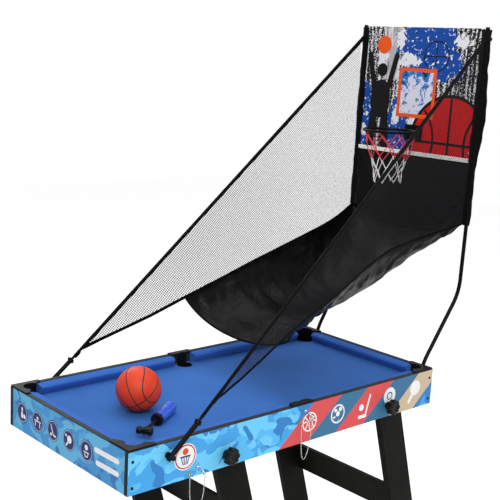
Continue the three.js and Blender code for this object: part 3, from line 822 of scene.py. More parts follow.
def long_board_art():
    """(layer, ink, loops) of the pictograms along a long board, in x and z."""
    white = "ink_white"
    art = [(0, white, ring(646.5, -60.3, 30, 25.6, 64))]            # basketball
    art += each(1, white, ball_seams(646.5, -60.3, 27, 4.0))
    art += [(0, white, ring(767.4, -61.3, 30, 25, 64))]             # field ball
    art += each(1, white, field_patches(767.4, -61.3))
    art += [(0, white, [stroke([(912, -30), (894, -92)], 7)]),      # stick, blade and puck
            (1, white, [stroke([(894, -94), (866, -94)], 11)]),
            (0, white, [circle(874, -64, 11, 36)]),
            (0, white, [circle(1006.3, -52, 28, 64), circle(1006.3, -52, 13.5, 40)]),
            (1, white, [circle(1006.3, -52, 9, 32)]),               # cue ball's dot
            (0, white, [circle(1134, -50, 25, 56)]),                # paddle and grip
            (1, white, [stroke([(1122, -68), (1106, -92)], 13)])]
    x, z = 183, -56                                                 # badge: ball over a hoop
    hoop = [(x - 17, z + 3), (x + 17, z + 3), (x + 17, z - 1.5), (x - 17, z - 1.5)]
    net = [stroke([(x + top, z - 2), (x + low, z - 21)], 3)
           for top, low in ((-13, -7), (-4.5, -2.5), (4.5, 2.5), (13, 7))]
    art += [(0, white, [circle(x, z, 37, 72)]),
            (1, "ink_red", ring(x, z, 34, 30.5, 72)),
            (1, "ink_navy", [hoop])]
    art += each(1, "ink_navy", net)
    art += [(1, "ink_orange", [circle(x, z + 14.5, 9.5, 40)])]
    return art


for face, out in ((0, -1), (TABLE_W, 1)):
    for layer, ink_name, loops in long_board_art():
        level = face + out * (LIFT + LAYER * layer)
        decal(loops, lambda u, v: (u, level, v), ink_name)


def on_left_end(layer):
    return lambda u, v: (0.5 - LIFT - LAYER * layer, u, v)


def pin_art(y, z):
    pin = [(y - 3, z - 16), (y + 3, z - 16), (y + 6, z - 6), (y + 2.6, z + 4), (y + 4, z + 12),
           (y, z + 17), (y - 4, z + 12), (y - 2.6, z + 4), (y - 6, z - 6)]
    return [smooth_curve(pin, 5), circle(y - 13, z - 9, 6.5, 28)]


def table_art(y, z):
    return [stroke([(y - 16, z + 1), (y + 16, z + 1)], 4),
            stroke([(y - 11, z), (y - 13, z - 15)], 3.4),
            stroke([(y + 11, z), (y + 13, z - 15)], 3.4), circle(y, z + 10, 5, 24)]


def stick_art(y, z):
    stick = [(y + 10, z + 17), (y, z - 6), (y - 5, z - 12), (y - 14, z - 13)]
    return [smooth_curve(stroke(stick, [3, 4, 5.5, 5.5]), 2), circle(y + 9, z - 12, 4.5, 24)]


def paddle_art(y, z):
    return [circle(y - 3, z + 3, 11, 36), stroke([(y + 4, z - 6), (y + 12, z - 16)], [5, 6]),
            circle(y + 14, z + 11, 4, 24)]


def hoop_art(y, z):
    return [circle(y, z + 9, 7.5, 32),
            [(y - 13, z - 3), (y + 13, z - 3), (y + 13, z - 6), (y - 13, z - 6)],
            [(y - 10, z - 7.5), (y - 6, z - 18), (y + 6, z - 18), (y + 10, z - 7.5),
             (y + 7, z - 7.5), (y + 4, z - 15), (y - 4, z - 15), (y - 7, z - 7.5)]]


# five round badges on the left end board, and two plain bars beside them
BADGE_Z = -61.5
for y, art in ((531, pin_art), (444, table_art), (361, stick_art), (278, paddle_art),
               (191, hoop_art)):
    decal([circle(y, BADGE_Z, 30, 56)], on_left_end(0), "ink_navy")
    decal(ring(y, BADGE_Z, 27.5, 26.2, 56), on_left_end(1), "ink_white")
    for loop in art(y, BADGE_Z):
        decal([loop], on_left_end(1), "ink_white")
for top, bar_end in ((-41, 146), (-75, 138)):
    decal([stroke([(46, top), (bar_end, top - 2)], 15)], on_left_end(0), "ink_white")

# ------------------------------------------------------------------ star knobs
KNOB_Z = -81
KNOB_R = 23.8
# distance out from the board, share of the knob's radius
KNOB_PROFILE = [
    (0.6, 0.40), (1.4, 0.50), (9.5, 0.50), (12.5, 0.56), (13.6, 0.86), (15.0, 0.965),
    (17.0, 1.0), (29.0, 1.0), (32.5, 0.965), (34.6, 0.89), (35.6, 0.78), (35.9, 0.66),
    (35.2, 0.55), (33.9, 0.49), (33.7, 0.30), (34.1, 0.02)]


def knob(end, x, reach, side):
    """Eight-lobed knob with a stud reaching inwards through the board."""
    far = side == "far"
    y0, out = (TABLE_W, 1) if far else (0, -1)
    seg = 128
    verts = []
    for d, share in KNOB_PROFILE:
        for k in range(seg):
            a = 2 * PI * k / seg
            wave = math.cos(8 * a)
            lobe = 1.0
            if share >= 0.6:
                lobe = 1 + (0.055 * wave - 0.105 * max(0, -wave) ** 1.3) * min(1, (share - 0.6) / 0.3)
            r = KNOB_R * share * lobe
            verts.append((x + r * math.cos(a), y0 + out * d, KNOB_Z + r * math.sin(a)))
    faces = ring_faces(len(KNOB_PROFILE), seg)
    if not far:
        faces = [face[::-1] for face in faces]
    stud = lathe((x, y0, KNOB_Z), (0, -out, 0),
                 [(-1, 4.0), (13, 4.0), (reach - 1, 4.0), (reach, 3.2)], 20)
    node = f"knob_{end}_{side}"
    mesh("star_" + node, [(verts, faces), stud], "smooth_plastic", node,
         (node,), 45)


for end, x, reach in (("left", 324, 24), ("right", 998, 36)):
    for side in SIDES:
        knob(end, x, reach, side)

# ------------------------------------------------------------------ lock pins on bead chains
PIN_GRIP = [(0, 2.6), (0.6, 3.4), (3.0, 3.6), (4.0, 3.2), (5.2, 3.2), (6.2, 3.6), (22.5, 3.6),
            (23.4, 3.1), (24.2, 3.1), (25.0, 3.6), (28.2, 3.6), (29.0, 3.1), (29.4, 2.0)]
EYE_SHANK = [(-8.5, 1.5), (-0.2, 1.5), (0, 3.2), (0.7, 3.2), (0.9, 1.5), (2.8, 1.5)]
BEAD = [(-1.45, 0.25), (-1.1, 0.95), (-0.5, 1.42), (0.5, 1.42), (1.1, 0.95), (1.45, 0.25)]
BEAD_PITCH = 3.3


def lock_pin(side, x, z, inside):
    """Pin with a drooping grip and a pull ring; inside is its reach through the board."""
    shank = [(-inside, 2.2), (-inside + 1, 3.0), (0.6, 3.0), (0.7, 5.0), (1.2, 5.5),
             (3.2, 5.5), (4.0, 4.8), (4.2, 3.4)]
    mesh(f"ball_lock_pin_{side}",
         [lathe((x, 0, z), (0, -1, 0), shank, 28),
          lathe((x, -2.5, z - 0.3), (0, -28.0, -8.1), PIN_GRIP, 28),
          torus((x, -29, z - 13), 5.2, 1.05, (1, 0.12, 0.05), 40, 12)],
         "chrome", f"lock_pin_{side}", (f"lock_pin_{side}",), 40)


def eye_screw(side, x, z):
    mesh(f"brass_eye_{side}", [lathe((x, 0, z), (0, -1, 0), EYE_SHANK, 18),
                               torus((x, -6.6, z), 4.2, 1.3, (1, 0, 0), 32, 10)],
         "brass", "table", (f"eye_screw_{side}",), 45)


def bead_chain(side, x, z, pin_x, drop):
    """Chain hanging from the eye at x, z to the pin's ring."""
    pin_z = PIN_PLACE[side][1]
    path = smooth_curve(
        [(x, -7, z - 7.4), (x + 1, -8, z - drop * 0.5), (lerp(x, pin_x, 0.35), -10, z - drop * 0.94),
         (lerp(x, pin_x, 0.68), -17, z - drop * 0.95), (pin_x - 1, -26, z - drop * 0.5),
         (pin_x, -29, pin_z - 20.6)], 60, closed=False)
    steps = np.linalg.norm(np.diff(path, axis=0), axis=1)
    run = np.concatenate([[0], np.cumsum(steps)])

    def evenly(n):
        return np.stack([np.interp(np.linspace(0, run[-1], n), run, path[:, i])
                         for i in range(3)], 1)
    count = int(run[-1] / BEAD_PITCH)
    at = evenly(count)
    parts = [lathe(at[i], at[min(i + 1, count - 1)] - at[max(i - 1, 0)], BEAD, 8)
             for i in range(count)]
    parts.append(sweep(evenly(count * 2), 0.42, 6))
    chain = mesh(f"bead_chain_{side}", parts, "chrome", None,
                 (f"pin_chain_{side}",), 60)
    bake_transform(chain)


PIN_PLACE = {"left": (228, -96), "right": (625, -22)}       # x, z
# end, eye x and z, pin's inner reach, chain's drop
for side, eye_x, eye_z, inside, drop in (("left", 196, -107, 14.0, 118),
                                         ("right", 606, -53, 11.6, 112)):
    pin_x, pin_z = PIN_PLACE[side]
    lock_pin(side, pin_x, pin_z, inside)
    eye_screw(side, eye_x, eye_z)
    bead_chain(side, eye_x, eye_z, pin_x, drop)

# ------------------------------------------------------------------ hoop frame
# lower hem of the side nets and chute: x, half-width from the middle, z
HEM_SHARED = [
    [376, 285, 116], [476, 265, 153], [597, 242, 204], [680, 230, 235], [761, 224, 263],
    [845, 213, 296], [905, 202, 320], [973, 190, 346], [1056, 180, 376], [1104, 178, 391],
    [1186, 187, 412], [1261, 205, 431], [1342, 232, 454], [1378, 246, 464]]
HEM_NEAR = np.array([[242, 311.8, 73.2], [276, 305, 84]] + HEM_SHARED, float)
HEM_FAR = np.array([[242, 311.0, 65.5], [310, 299.2, 91.5]] + HEM_SHARED, float)
# sag of the chute below its hems: x, depth
BELLY = np.array([[597, 106], [800, 108], [1000, 158], [1100, 162], [1250, 118], [1320, 88],
                  [1380, 50]], float)


def eased(xs, values, reach=9):
    """The table as a function of x, its corners eased over reach steps each way."""
    grid = np.linspace(242, 1378, 412)
    padded = np.pad(np.interp(grid, xs, values), reach, mode="reflect", reflect_type="odd")
    weights = np.hanning(2 * reach + 1)
    weights /= weights.sum()
    curve = np.convolve(padded, weights, "valid")
    return lambda x: np.interp(x, grid, curve)


hem_half, hem_z = (eased(HEM_NEAR[:, 0], HEM_NEAR[:, k]) for k in (1, 2))
far_hem_half, far_hem_z = (eased(HEM_FAR[:, 0], HEM_FAR[:, k]) for k in (1, 2))
belly = eased(BELLY[:, 0], BELLY[:, 1])

# near front tube: its foot, the collar between lower and upper tube, and its top
FOOT = np.array([123, -15, -36.0])
COLLAR = np.array([211, -12, 38.0])
APEX = np.array([1397, 38, 1077.0])
LOWER_DIR = unit(COLLAR - FOOT)
UPPER_DIR = unit(APEX - COLLAR)
UPPER_LEN = np.linalg.norm(APEX - COLLAR)
# near rear upright, bent at the two middle points; the last run leans slightly
UPRIGHT = [(1228, 53, -92), (1228, 53, -8), (1385, 43, 231), (1400, 38, 1113)]


def upright_x(z):
    return 1385 + 15 * (z - 231) / 882


def upright_y(z):
    return 43 - 5 * (z - 231) / 882


def lower_tube():
    """Tube with a rounded foot; a collar with two ears and a snap button at the top."""
    length = np.linalg.norm(COLLAR - FOOT)
    stations = np.concatenate([[-12.6, -12.4, -11.8, -10.8, -9.4],
                               np.linspace(-6, length - 7, 10), [length - 2]])
    radii = np.concatenate([[2.5, 4.9, 6.0, 6.6, 6.8], np.full(10, 6.8), [6.8]])
    collar = [(-8.5, 6.4), (-6.2, 7.2), (-5.4, 8.6), (-4.2, 9.0), (3.6, 9.0), (5.2, 8.5),
              (6.0, 7.2), (6.3, 4.5)]
    ear = [(-1, 3.1), (2.2, 3.1), (5.0, 2.7), (6.6, 1.9), (7.2, 0.6)]
    button = [(-1.5, 2.6), (0.9, 2.6), (1.7, 2.2), (2.3, 1.4), (2.5, 0.4)]
    parts = [sweep([FOOT + LOWER_DIR * s for s in stations], radii, 32),
             lathe(COLLAR, UPPER_DIR, collar, 40)]
    across = unit(np.cross(UPPER_DIR, (0, 1, 0)))
    for sign in (-1, 1):
        parts.append(lathe(COLLAR + across * sign * 7.0, across * sign, ear, 16))
    parts.append(lathe(COLLAR - UPPER_DIR * 16 + np.array([0, -6.2, 0]), (0, -1, 0), button, 20))
    return parts


def upper_tube():
    stations = np.linspace(4, UPPER_LEN - 9, 40)
    return [sweep([COLLAR + UPPER_DIR * s for s in stations], 4.2, 28)]


def rounded(points, radius, n):
    """The line with its inner corners turned into curves of n steps."""
    P = [np.array(p, float) for p in points]
    out = [P[0]]
    for i in range(1, len(P) - 1):
        before, after = P[i - 1] - P[i], P[i + 1] - P[i]
        len_a, len_b = np.linalg.norm(before), np.linalg.norm(after)
        start = P[i] + before / len_a * min(radius, len_a * 0.45)
        stop = P[i] + after / len_b * min(radius, len_b * 0.45)
        for k in range(n + 1):
            t = k / n
            out.append((1 - t) ** 2 * start + 2 * t * (1 - t) * P[i] + t * t * stop)
    out.append(P[-1])
    return out


def upright_tube():
    corners = rounded(UPRIGHT, radius=46, n=10)
    path = [corners[0]]
    for a, b in zip(corners[:-1], corners[1:]):
        count = max(1, int(np.linalg.norm(b - a) / 30))
        path += [a + (b - a) * j / count for j in range(1, count + 1)]
    cap = [(-14, 6.6), (-13, 7.2), (-3, 7.3), (-0.6, 6.9), (0.2, 5.4), (0.5, 3.0)]
    seat = [(50, 7.0), (50.4, 8.2), (54, 8.4), (55.6, 7.6), (56, 6.6)]
    return [sweep(path, 6.5, 28), lathe(path[-1], path[-1] - path[-2], cap, 28),
            lathe(UPRIGHT[0], (0, 0, 1), seat, 28)]


def bolt_cap():
    profile = [(-0.5, 6.4), (0.6, 6.2), (1.8, 5.2), (2.6, 3.4), (2.9, 0.5)]
    return [lathe((123, -29.9, -36), (0, -1, 0), profile, 28)]


pair("front_lower_tube", lambda far: lower_tube(), "tube", "front_tube_lower")
pair("front_upper_tube", lambda far: upper_tube(), "tube", "front_tube_upper")
pair("rear_upright_tube", lambda far: upright_tube(), "tube", "upright")
for side in SIDES:
    cad("frame_bolt_" + side, "smooth_plastic", 0.0008)
cad("top_rail", "tube", 0.0008)
pair("bolt_cap", lambda far: bolt_cap(), "smooth_plastic", body="table")


def tube_sleeve(far):
    """Cloth round the front tube, from just above the collar to the top."""
    net_start = 41 if far else 88       # where the net leaves the tube
    points, radii, tall = [], [], []
    for s in np.linspace(11, UPPER_LEN - 6, 230):
        hang = clamp01((s - net_start) / 60.0)
        slow = ripple(s * 0.020, 1.7 + 3 * far, 0.3)
        quick = ripple(s * 0.060, 5.1 + 3 * far, 2.3)
        ends = min(1.0, (s - 11) / 5.0 + 0.5)
        wide = 1.7 if far else lerp(0.2, 1.9, clamp01((s - 150) / 500))
        wide = wide + 0.8 * max(0, (s - 900) / 600)
        radii.append((4.7 + 0.2 * slow) * ends)
        tall.append((4.9 + wide * hang + 0.45 * quick + 0.5 * slow) * ends)
        drop = -wide * 0.85 * hang - 0.2 * slow
        points.append(COLLAR + UPPER_DIR * s + np.array([0, 0.2 * quick, drop]))
    return [sweep(points, radii, 26, tall=tall, up=(0, 0, 1))]


pair("front_tube_sleeve", tube_sleeve, "sleeve", smooth=60)


def board_sleeve(far):
    """Cloth round the upright: stands off outwards and laps over the board's edge."""
    levels = np.concatenate([[461.5], np.linspace(463, 1104, 130), [1105.5]])
    rings = len(levels)
    verts = []
    for i, z in enumerate(levels):
        t = (z - 462) / 645.0
        slow = ripple(z * 0.0085, 2.2 + far * 3, 0.4)
        mid = ripple(z * 0.027, 7.1 + far * 5, 1.4)
        quick = ripple(z * 0.06, 3.1 + far * 5, 4.4)
        if far:
            stand = lerp(11, 13.5, min(1, t * 2)) + 4.2 * slow + 3.0 * mid
        else:
            bulge = 8.5 * math.exp(-((z - 800) / 95.0) ** 2)
            stand = lerp(12, 18.5, clamp01((t - 0.12) * 2.2)) + bulge + 5.0 * slow + 3.4 * mid
        ends = 1.0 if 0 < i < rings - 1 else 0.86
        outer = -stand * ends
        lap = 18.5 + 4.5 * mid + 2.0 * quick if z > 690 else 16.5 + 1.5 * mid
        round_x = (7.9 + 0.6 * quick) * ends
        shift = 1.3 * quick + 1.0 * mid
        # section: y and x from the upright's axis
        section = [
            (outer, 0.7 + shift), (outer - 0.5, 0.0 + shift), (outer, -0.8 + shift),
            (outer * 0.72, -2.6 + shift * 0.8), (-7.2, -4.6), (-4.5, -6.8), (0, -round_x),
            (4.5, -6.9), (8.0, -5.4), (11.0, -4.5), (lap - 1.5, -4.6 - 0.4 * quick),
            (lap, -4.2), (lap - 0.2, -3.1), (11.2, -3.0), (10.4, -1.0), (9.2, 2.2), (6.5, 5.4),
            (3.5, 7.2), (0, round_x), (-4.5, 6.6), (-7.5, 4.4), (outer * 0.72, 2.4 + shift * 0.8)]
        verts += [(upright_x(z) + x, upright_y(z) + y, z) for y, x in section]
    faces = ring_faces(rings, len(section))
    # the section runs the other way round, so the faces are turned over
    faces = [[b, a, d, c] for a, b, c, d in faces[:-2]] + [cap[::-1] for cap in faces[-2:]]
    return [(verts, faces)]


pair("upright_sleeve", board_sleeve, "sleeve", "board_sleeve", smooth=55)

# ------------------------------------------------------------------ backboard
cad("backboard", "board", 0.0004)
BOARD_HALF = 2.5                        # half the board's thickness
PRINT_Y = (52.0, 548.0)
PRINT_Z = (684.0, 1108.0)


def clip(loop):
    """The part of an outline inside the printed area."""
    for axis, limit, keep in ((0, PRINT_Y[0], 1), (0, PRINT_Y[1], -1),
                              (1, PRINT_Z[0], 1), (1, PRINT_Z[1], -1)):
        out = []
        for i in range(len(loop)):
            a, b = loop[i - 1], loop[i]
            a_in, b_in = (a[axis] - limit) * keep >= 0, (b[axis] - limit) * keep >= 0
            if a_in != b_in:
                t = (limit - a[axis]) / (b[axis] - a[axis])
                out.append((a[0] + (b[0] - a[0]) * t, a[1] + (b[1] - a[1]) * t))
            if b_in:
                out.append((b[0], b[1]))
        loop = out
    return loop


def rectangle(y0, y1, z0, z1):
    return [(y0, z0), (y1, z0), (y1, z1), (y0, z1)]


def board_art():
    """(layer, ink, loops) of the backboard's pictures, in y and z."""
    black = "ink_black"
    # small ball outline with a cross
    art = [(2, black, ring(231, 1013, 53, 49.4, 72)),
           (2, black, [stroke([(231, 963), (231, 1063)], 3.2)]),
           (3, black, [stroke([(181, 1013), (281, 1013)], 3.2)])]
    # big red ball: a cross and two side arcs
    y, z, r, arm = 150, 722, 160, 154
    art += [(2, black, [circle(y, z, r + 7, 120)]),
            (3, "ink_red", [circle(y, z, r - 4.5, 120)]),
            (4, black, [stroke([(y, z - arm), (y, z + arm)], 9)]),
            (5, black, [stroke([(y - arm, z), (y + arm, z)], 9)])]
    for sign in (-1, 1):
        arc = [(y + sign * (215 - 150 * math.cos(a)), z + 150 * math.sin(a))
               for a in np.linspace(-1.4, 1.4, 90)]
        inside = [p for p in arc if math.hypot(p[0] - y, p[1] - z) < 153]
        art.append((4, black, [stroke(inside, 9)]))
    # target square
    art.append((5, "ink_orange", [rectangle(222, 386, 800, 970),
                                  rectangle(234.5, 373.5, 812.5, 957.5)]))
    # standing figure of bars, both arms up under a ball: head, body, legs, arms, ball
    art += [(7, black, [circle(465, 958, 23, 56)]),
            (7, black, [stroke([(465, 880), (465, 832)], 88)]),
            (8, black, [stroke([(489, 808), (500, 690)], 34)]),
            (9, black, [stroke([(441, 808), (430, 690)], 34)]),
            (8, black, [stroke([(498, 898), (527, 1010)], 22)]),
            (9, black, [stroke([(432, 898), (403, 1010)], 22)]),
            (7, "ink_orange", [circle(465, 1046, 31, 56)])]
    return art


for layer, ink_name, loops in board_art():
    lift = 0.18 + LAYER * layer
    decal([clip(list(map(tuple, loop))) for loop in loops],
          lambda y, z: (upright_x(z) - BOARD_HALF - lift, y, z), ink_name, HOOP, "board_print")


# channel section along the board's bottom edge: x from the board's middle, z
CHANNEL = [(-4.6, 671.6), (4.6, 671.6), (4.9, 672.2), (4.9, 682.6), (4.4, 683.4), (2.8, 683.4),
           (2.8, 673.7), (-2.8, 673.7), (-2.8, 683.9), (-4.2, 683.9), (-4.9, 683.2),
           (-4.9, 672.2)]
channel_verts = [(upright_x(677) + x, y, z) for y in np.linspace(60, 548, 40) for x, z in CHANNEL]
mesh("board_bottom_strip", [(channel_verts, ring_faces(40, len(CHANNEL)))], "strip", HOOP,
     smooth=30)
RIVET = [(-0.3, 4.4), (0.3, 4.4), (1.3, 3.6), (1.9, 2.2), (2.1, 0.3)]
mesh("board_rivets", [lathe((upright_x(701) - 2.6, y, 701), (-1, 0, 0), RIVET, 24)
                      for y in (60, 530)], "zinc", HOOP)

# ------------------------------------------------------------------ rim and its net
RIM_Z = 757
RIM = np.array([1268, 300, 757.0])
RIM_R = 91.5
LOOPS = 8                               # net loops round the rim
plate_x = upright_x(RIM_Z) - BOARD_HALF - 0.3


def from_rim(angle, r, z):
    """Point at a radius and height from the rim's centre."""
    return np.array([RIM[0] + r * math.cos(angle), RIM[1] + r * math.sin(angle), RIM[2] + z])


def rim_arm(sign):
    path = [(RIM[0] + RIM_R - 6, RIM[1] + sign * 34, RIM[2]),
            (RIM[0] + RIM_R + 10, RIM[1] + sign * 31, RIM[2] - 0.3),
            (plate_x - 12, RIM[1] + sign * 27, RIM[2] - 1.2),
            (plate_x - 1, RIM[1] + sign * 25, RIM[2] - 2)]
    return sweep(smooth_curve(path, 8, closed=False), 4.5, 18)


def rim_plate():
    """Plate leaning with the board."""
    verts = np.array([(x, y, z) for x in (plate_x - 3, plate_x) for y in (262, 338)
                      for z in (722, 776)], float)
    verts[:, 0] += upright_x(verts[:, 2]) - upright_x(RIM_Z)
    faces = [(0, 1, 3, 2), (4, 6, 7, 5), (0, 4, 5, 1), (2, 3, 7, 6), (0, 2, 6, 4), (1, 5, 7, 3)]
    bevel(mesh("rim_plate", [(verts, faces)], "rim", HOOP, smooth=30), 0.0012, 3)


def rim_hook(k):
    # radius from the rim's own, height
    path = [(-1, -5), (-2, -9.5), (-5, -12.2), (-9, -11.2), (-10.5, -8.0)]
    angle = 2 * PI * (k + 0.5) / LOOPS
    points = [from_rim(angle, RIM_R + r, z) for r, z in path]
    return sweep(smooth_curve(points, 5, closed=False), 1.35, 10)


mesh("rim_ring", [torus(RIM, RIM_R, 4.7, (0, 0, 1), 96, 18), rim_arm(-1), rim_arm(1)],
     "rim", HOOP, ("rim",), 50)
rim_plate()
PLATE_BOLT = [(-0.4, 5.2), (0.4, 5.2), (0.7, 4.0), (2.8, 4.0), (3.4, 3.2), (3.5, 0.3)]
mesh("rim_plate_bolts", [lathe((upright_x(z) - 5.6, y, z), (-1, 0, 0), PLATE_BOLT, 24)
                         for y in (273, 327) for z in (731, 767)], "rim", HOOP)
mesh("rim_hooks", [rim_hook(k) for k in range(LOOPS)], "rim", HOOP, smooth=60)

# rings of knots: radius, height from the rim
NET_LEVELS = [(RIM_R - 6.5, -12.5), (RIM_R - 17, -55), (RIM_R - 30, -98), (RIM_R - 42, -138),
              (RIM_R - 45, -174)]
KNOT = [(0, 0.8), (1.0, 2.0), (3.4, 2.5), (5.8, 2.0), (6.8, 0.8)]


def knot(i, k):
    """Knot k of ring i: rings step round by half a loop each time, all but the first uneven."""
    r, z = NET_LEVELS[i]
    loose = i > 0
    in_out = ripple(i * 1.7, k * 0.9, 0.2)
    shift = ripple(i * 2.3, k * 1.9, 5.2)
    angle = 2 * PI * (k + 0.5 + 0.5 * (i % 2)) / LOOPS + 0.11 * shift * loose
    return from_rim(angle, r + 4.6 * in_out * loose, z + 7.5 * shift * loose)


def cord(a, b, n=9):
    """Cord bowing slightly outwards and down between two knots."""
    points = []
    for q in range(n + 1):
        t = q / n
        p = a + (b - a) * t
        bow = 4 * t * (1 - t)
        out = np.array([p[0] - RIM[0], p[1] - RIM[1], 0])
        out /= np.linalg.norm(out) + 1e-9
        points.append(p + out * bow * 1.6 + np.array([0, 0, -1.6 * bow]))
    return sweep(points, 1.5, 8)


def cord_net():
    parts = []
    for i in range(len(NET_LEVELS) - 1):
        neighbour = -1 if i % 2 == 0 else 1
        for k in range(LOOPS):
            for below in (k, k + neighbour):
                parts.append(cord(knot(i, k), knot(i + 1, below % LOOPS)))
        for k in range(LOOPS):
            top = knot(i + 1, k) + np.array([0, 0, 3.4])
            parts.append(lathe(top, (0, 0, -1), KNOT, 8))
    for k in range(LOOPS):              # loops over the hooks
        angle = 2 * PI * (k + 0.5) / LOOPS
        parts.append(torus(knot(0, k) + np.array([0, 0, 1.5]), 2.4, 1.1,
                           (math.sin(angle), -math.cos(angle), 0), 12, 7))
    return parts


mesh("hoop_cord_net", cord_net(), "cord", HOOP, ("hoop_net",), 60)


# ------------------------------------------------------------------ side nets
def tube_at(x):
    """Half-width and height of the front tube at x."""
    t = (x - COLLAR[0]) / (APEX[0] - COLLAR[0])
    return (300 - (COLLAR[1] + (APEX[1] - COLLAR[1]) * t),
            COLLAR[2] + (APEX[2] - COLLAR[2]) * t)


def hems(far):
    return (far_hem_half, far_hem_z) if far else (hem_half, hem_z)


def net_half(x, z, far):
    """Half-width of the side net at x, z, with slack."""
    phase = 1.9 if far else 0.0
    half_at, z_at = hems(far)
    tube_half, tube_z = tube_at(x)
    top, bottom = tube_z - 6.5, z_at(x) + 1.5
    t = np.clip((top - z) / np.maximum(top - bottom, 1.0), 0, 1)
    half = (tube_half - 1) + (half_at(x) + 2.4 - (tube_half - 1)) * t
    slack = 4 * t * (1 - t) * (5.0 * np.sin(x * 0.0105 + 1.1 + phase)
                               + 3.0 * np.sin(x * 0.023 + z * 0.012 + phase * 2.0))
    return half + slack * np.clip((top - bottom) / 160.0, 0, 1)


def side_net(far):
    """Diamond mesh: a small square at every second grid point, joined by diagonal strands."""
    pitch = 4.2
    start = 246 if far else 284
    cols = int((1376 - start) / pitch) + 1
    rows = int((1080 - 60) / pitch) + 1
    ii, jj = np.meshgrid(np.arange(cols), np.arange(rows), indexing="ij")
    x = start + ii * pitch
    z = 60 + jj * pitch
    used = (((ii + jj) % 2 == 0) & (z < tube_at(x)[1] - 5.5) & (z > hems(far)[1](x) + 0.5)
            & (x < upright_x(z) - 4))
    index = -np.ones(used.shape, int)
    index[used] = np.arange(used.sum())
    X, Z = x[used].astype(float), z[used].astype(float)
    half = np.interp(X, [300, 700, 1100, 1376], [1.06, 0.98, 0.76, 0.74])
    corners = []
    for right, up in ((0, 1), (1, 0), (0, -1), (-1, 0)):        # top, right, bottom, left
        px, pz = X + half * right, Z + half * up
        corners.append(np.stack([px, 300 - net_half(px, pz, far), pz], 1))
    verts = np.stack(corners, 1).reshape(-1, 3)
    faces = [[4 * k, 4 * k + 1, 4 * k + 2, 4 * k + 3] for k in range(len(X))]
    a, b = index[:-1, :-1], index[1:, 1:]                       # strands rising to the right
    both = (a >= 0) & (b >= 0)
    faces += [[4 * q, 4 * r + 3, 4 * r + 2, 4 * q + 1] for q, r in zip(a[both], b[both])]
    a, b = index[:-1, 1:], index[1:, :-1]                       # strands falling to the right
    both = (a >= 0) & (b >= 0)
    faces += [[4 * q + 1, 4 * r, 4 * r + 3, 4 * q + 2] for q, r in zip(a[both], b[both])]
    return [(verts, faces)]


def hem_tape(far):
    """Binding along the net's lower edge; its first stretch hangs from the tube."""
    half_at, z_at = hems(far)
    start = 244 if far else 284
    points, radii, tall = [], [], []
    for x in np.concatenate([np.linspace(start - 18, start + 6, 6),
                             np.linspace(start + 14, 1376, 180)]):
        if x < start:
            tube_half, tube_z = tube_at(x)
            p = np.array([x, 300 - tube_half + 0.5, tube_z - (7.5 if far else 9)])
        else:
            p = np.array([x, 300 - half_at(x) - 1.2, z_at(x) + 1.0])
        n = ripple(x * 0.03, 3.3, 0.7)
        points.append(p + np.array([0, 0.5 * n, 0.7 * n]))
        radii.append(1.9 + 0.3 * n)
        tall.append((5.6 if far else 4.3) * min(1, 0.5 + (x - start + 18) / 70) + 0.5 * n)
    return [sweep(points, radii, 14, tall=tall, up=(0, 0, 1))]


pair("mesh_net", side_net, "net", "side_net", smooth=0)
pair("hem_binding", hem_tape, "binding", smooth=60)

# ------------------------------------------------------------------ chute and rear cloth
# One sheet of rows running back along the chute and then up to the board, hung and settled.
FLOOR_ROWS, BACK_ROWS, LAST_COL = 116, 28, 72
COLS = LAST_COL + 1
ROWS = FLOOR_ROWS + 1 + BACK_ROWS
ROW_STEP, COL_STEP = 7.0, 7.4           # rough spacing of the points, for the folds


def base_sheet():
    """The sheet's smooth shape, as rows x columns x 3."""
    angle = np.linspace(-PI / 2, PI / 2, COLS)
    cos, sin = np.cos(angle), np.sin(angle)
    rows = []
    for i in range(FLOOR_ROWS + 1):
        t = i / FLOOR_ROWS
        x = 597 + 63 * cos + (783 - 63 * cos) * t
        at = np.minimum(x, 1378)
        lean = 1 + 0.22 * sin * (1 - t)         # deeper towards the far side in front
        sag = belly(at) * cos * lean * (1 + 0.07 * (1 - t))
        rows.append(np.stack([x, 300 + sin * hem_half(at), hem_z(at) - 1 - sag], 1))
    for i in range(1, BACK_ROWS + 1):
        t = i / BACK_ROWS
        z = (466 - 48 * cos) * (1 - t) + 671 * t
        rows.append(np.stack([upright_x(z) - 4.5, 300 + sin * lerp(246, 244, t), z], 1))
    grid = np.array(rows)
    low, high = FLOOR_ROWS - 10, FLOOR_ROWS + 10
    for _ in range(6):                  # round the turn between floor and back, hems kept
        eased_grid = grid.copy()
        eased_grid[low:high, 1:-1] = (grid[low:high] * 0.5 + (
            grid[low + 1:high + 1] + grid[low - 1:high - 1]) * 0.25)[:, 1:-1]
        grid = eased_grid
    return grid


def sheet_normals(grid):
    normals = np.cross(np.gradient(grid, axis=0), np.gradient(grid, axis=1))
    return normals / (np.linalg.norm(normals, axis=2)[..., None] + 1e-9)


def rumpled(grid):
    """The sheet with uneven folds, as it starts before settling."""
    normals = sheet_normals(grid)
    out = grid.copy()
    for i in range(ROWS):
        for j in range(COLS):
            from_hem = min(j, LAST_COL - j)
            e = from_hem / (LAST_COL / 2.0)
            free = min(1.0, from_hem / 2.0) * (1.0 if i < ROWS - 1 else 0.0)
            s, u = i * ROW_STEP, j * COL_STEP
            a = ripple(s * 0.028, u * 0.010, 1.0) * 5.5 * (1 - 0.5 * e)
            b = ripple(s * 0.055 + 9, u * 0.022 + 4, 2.0) * 3.2
            c = ripple(s * 0.012 - u * 0.02, u * 0.012, 7.0) * 6.0 * e
            out[i, j] += normals[i, j] * (a + b + c) * free
    return out


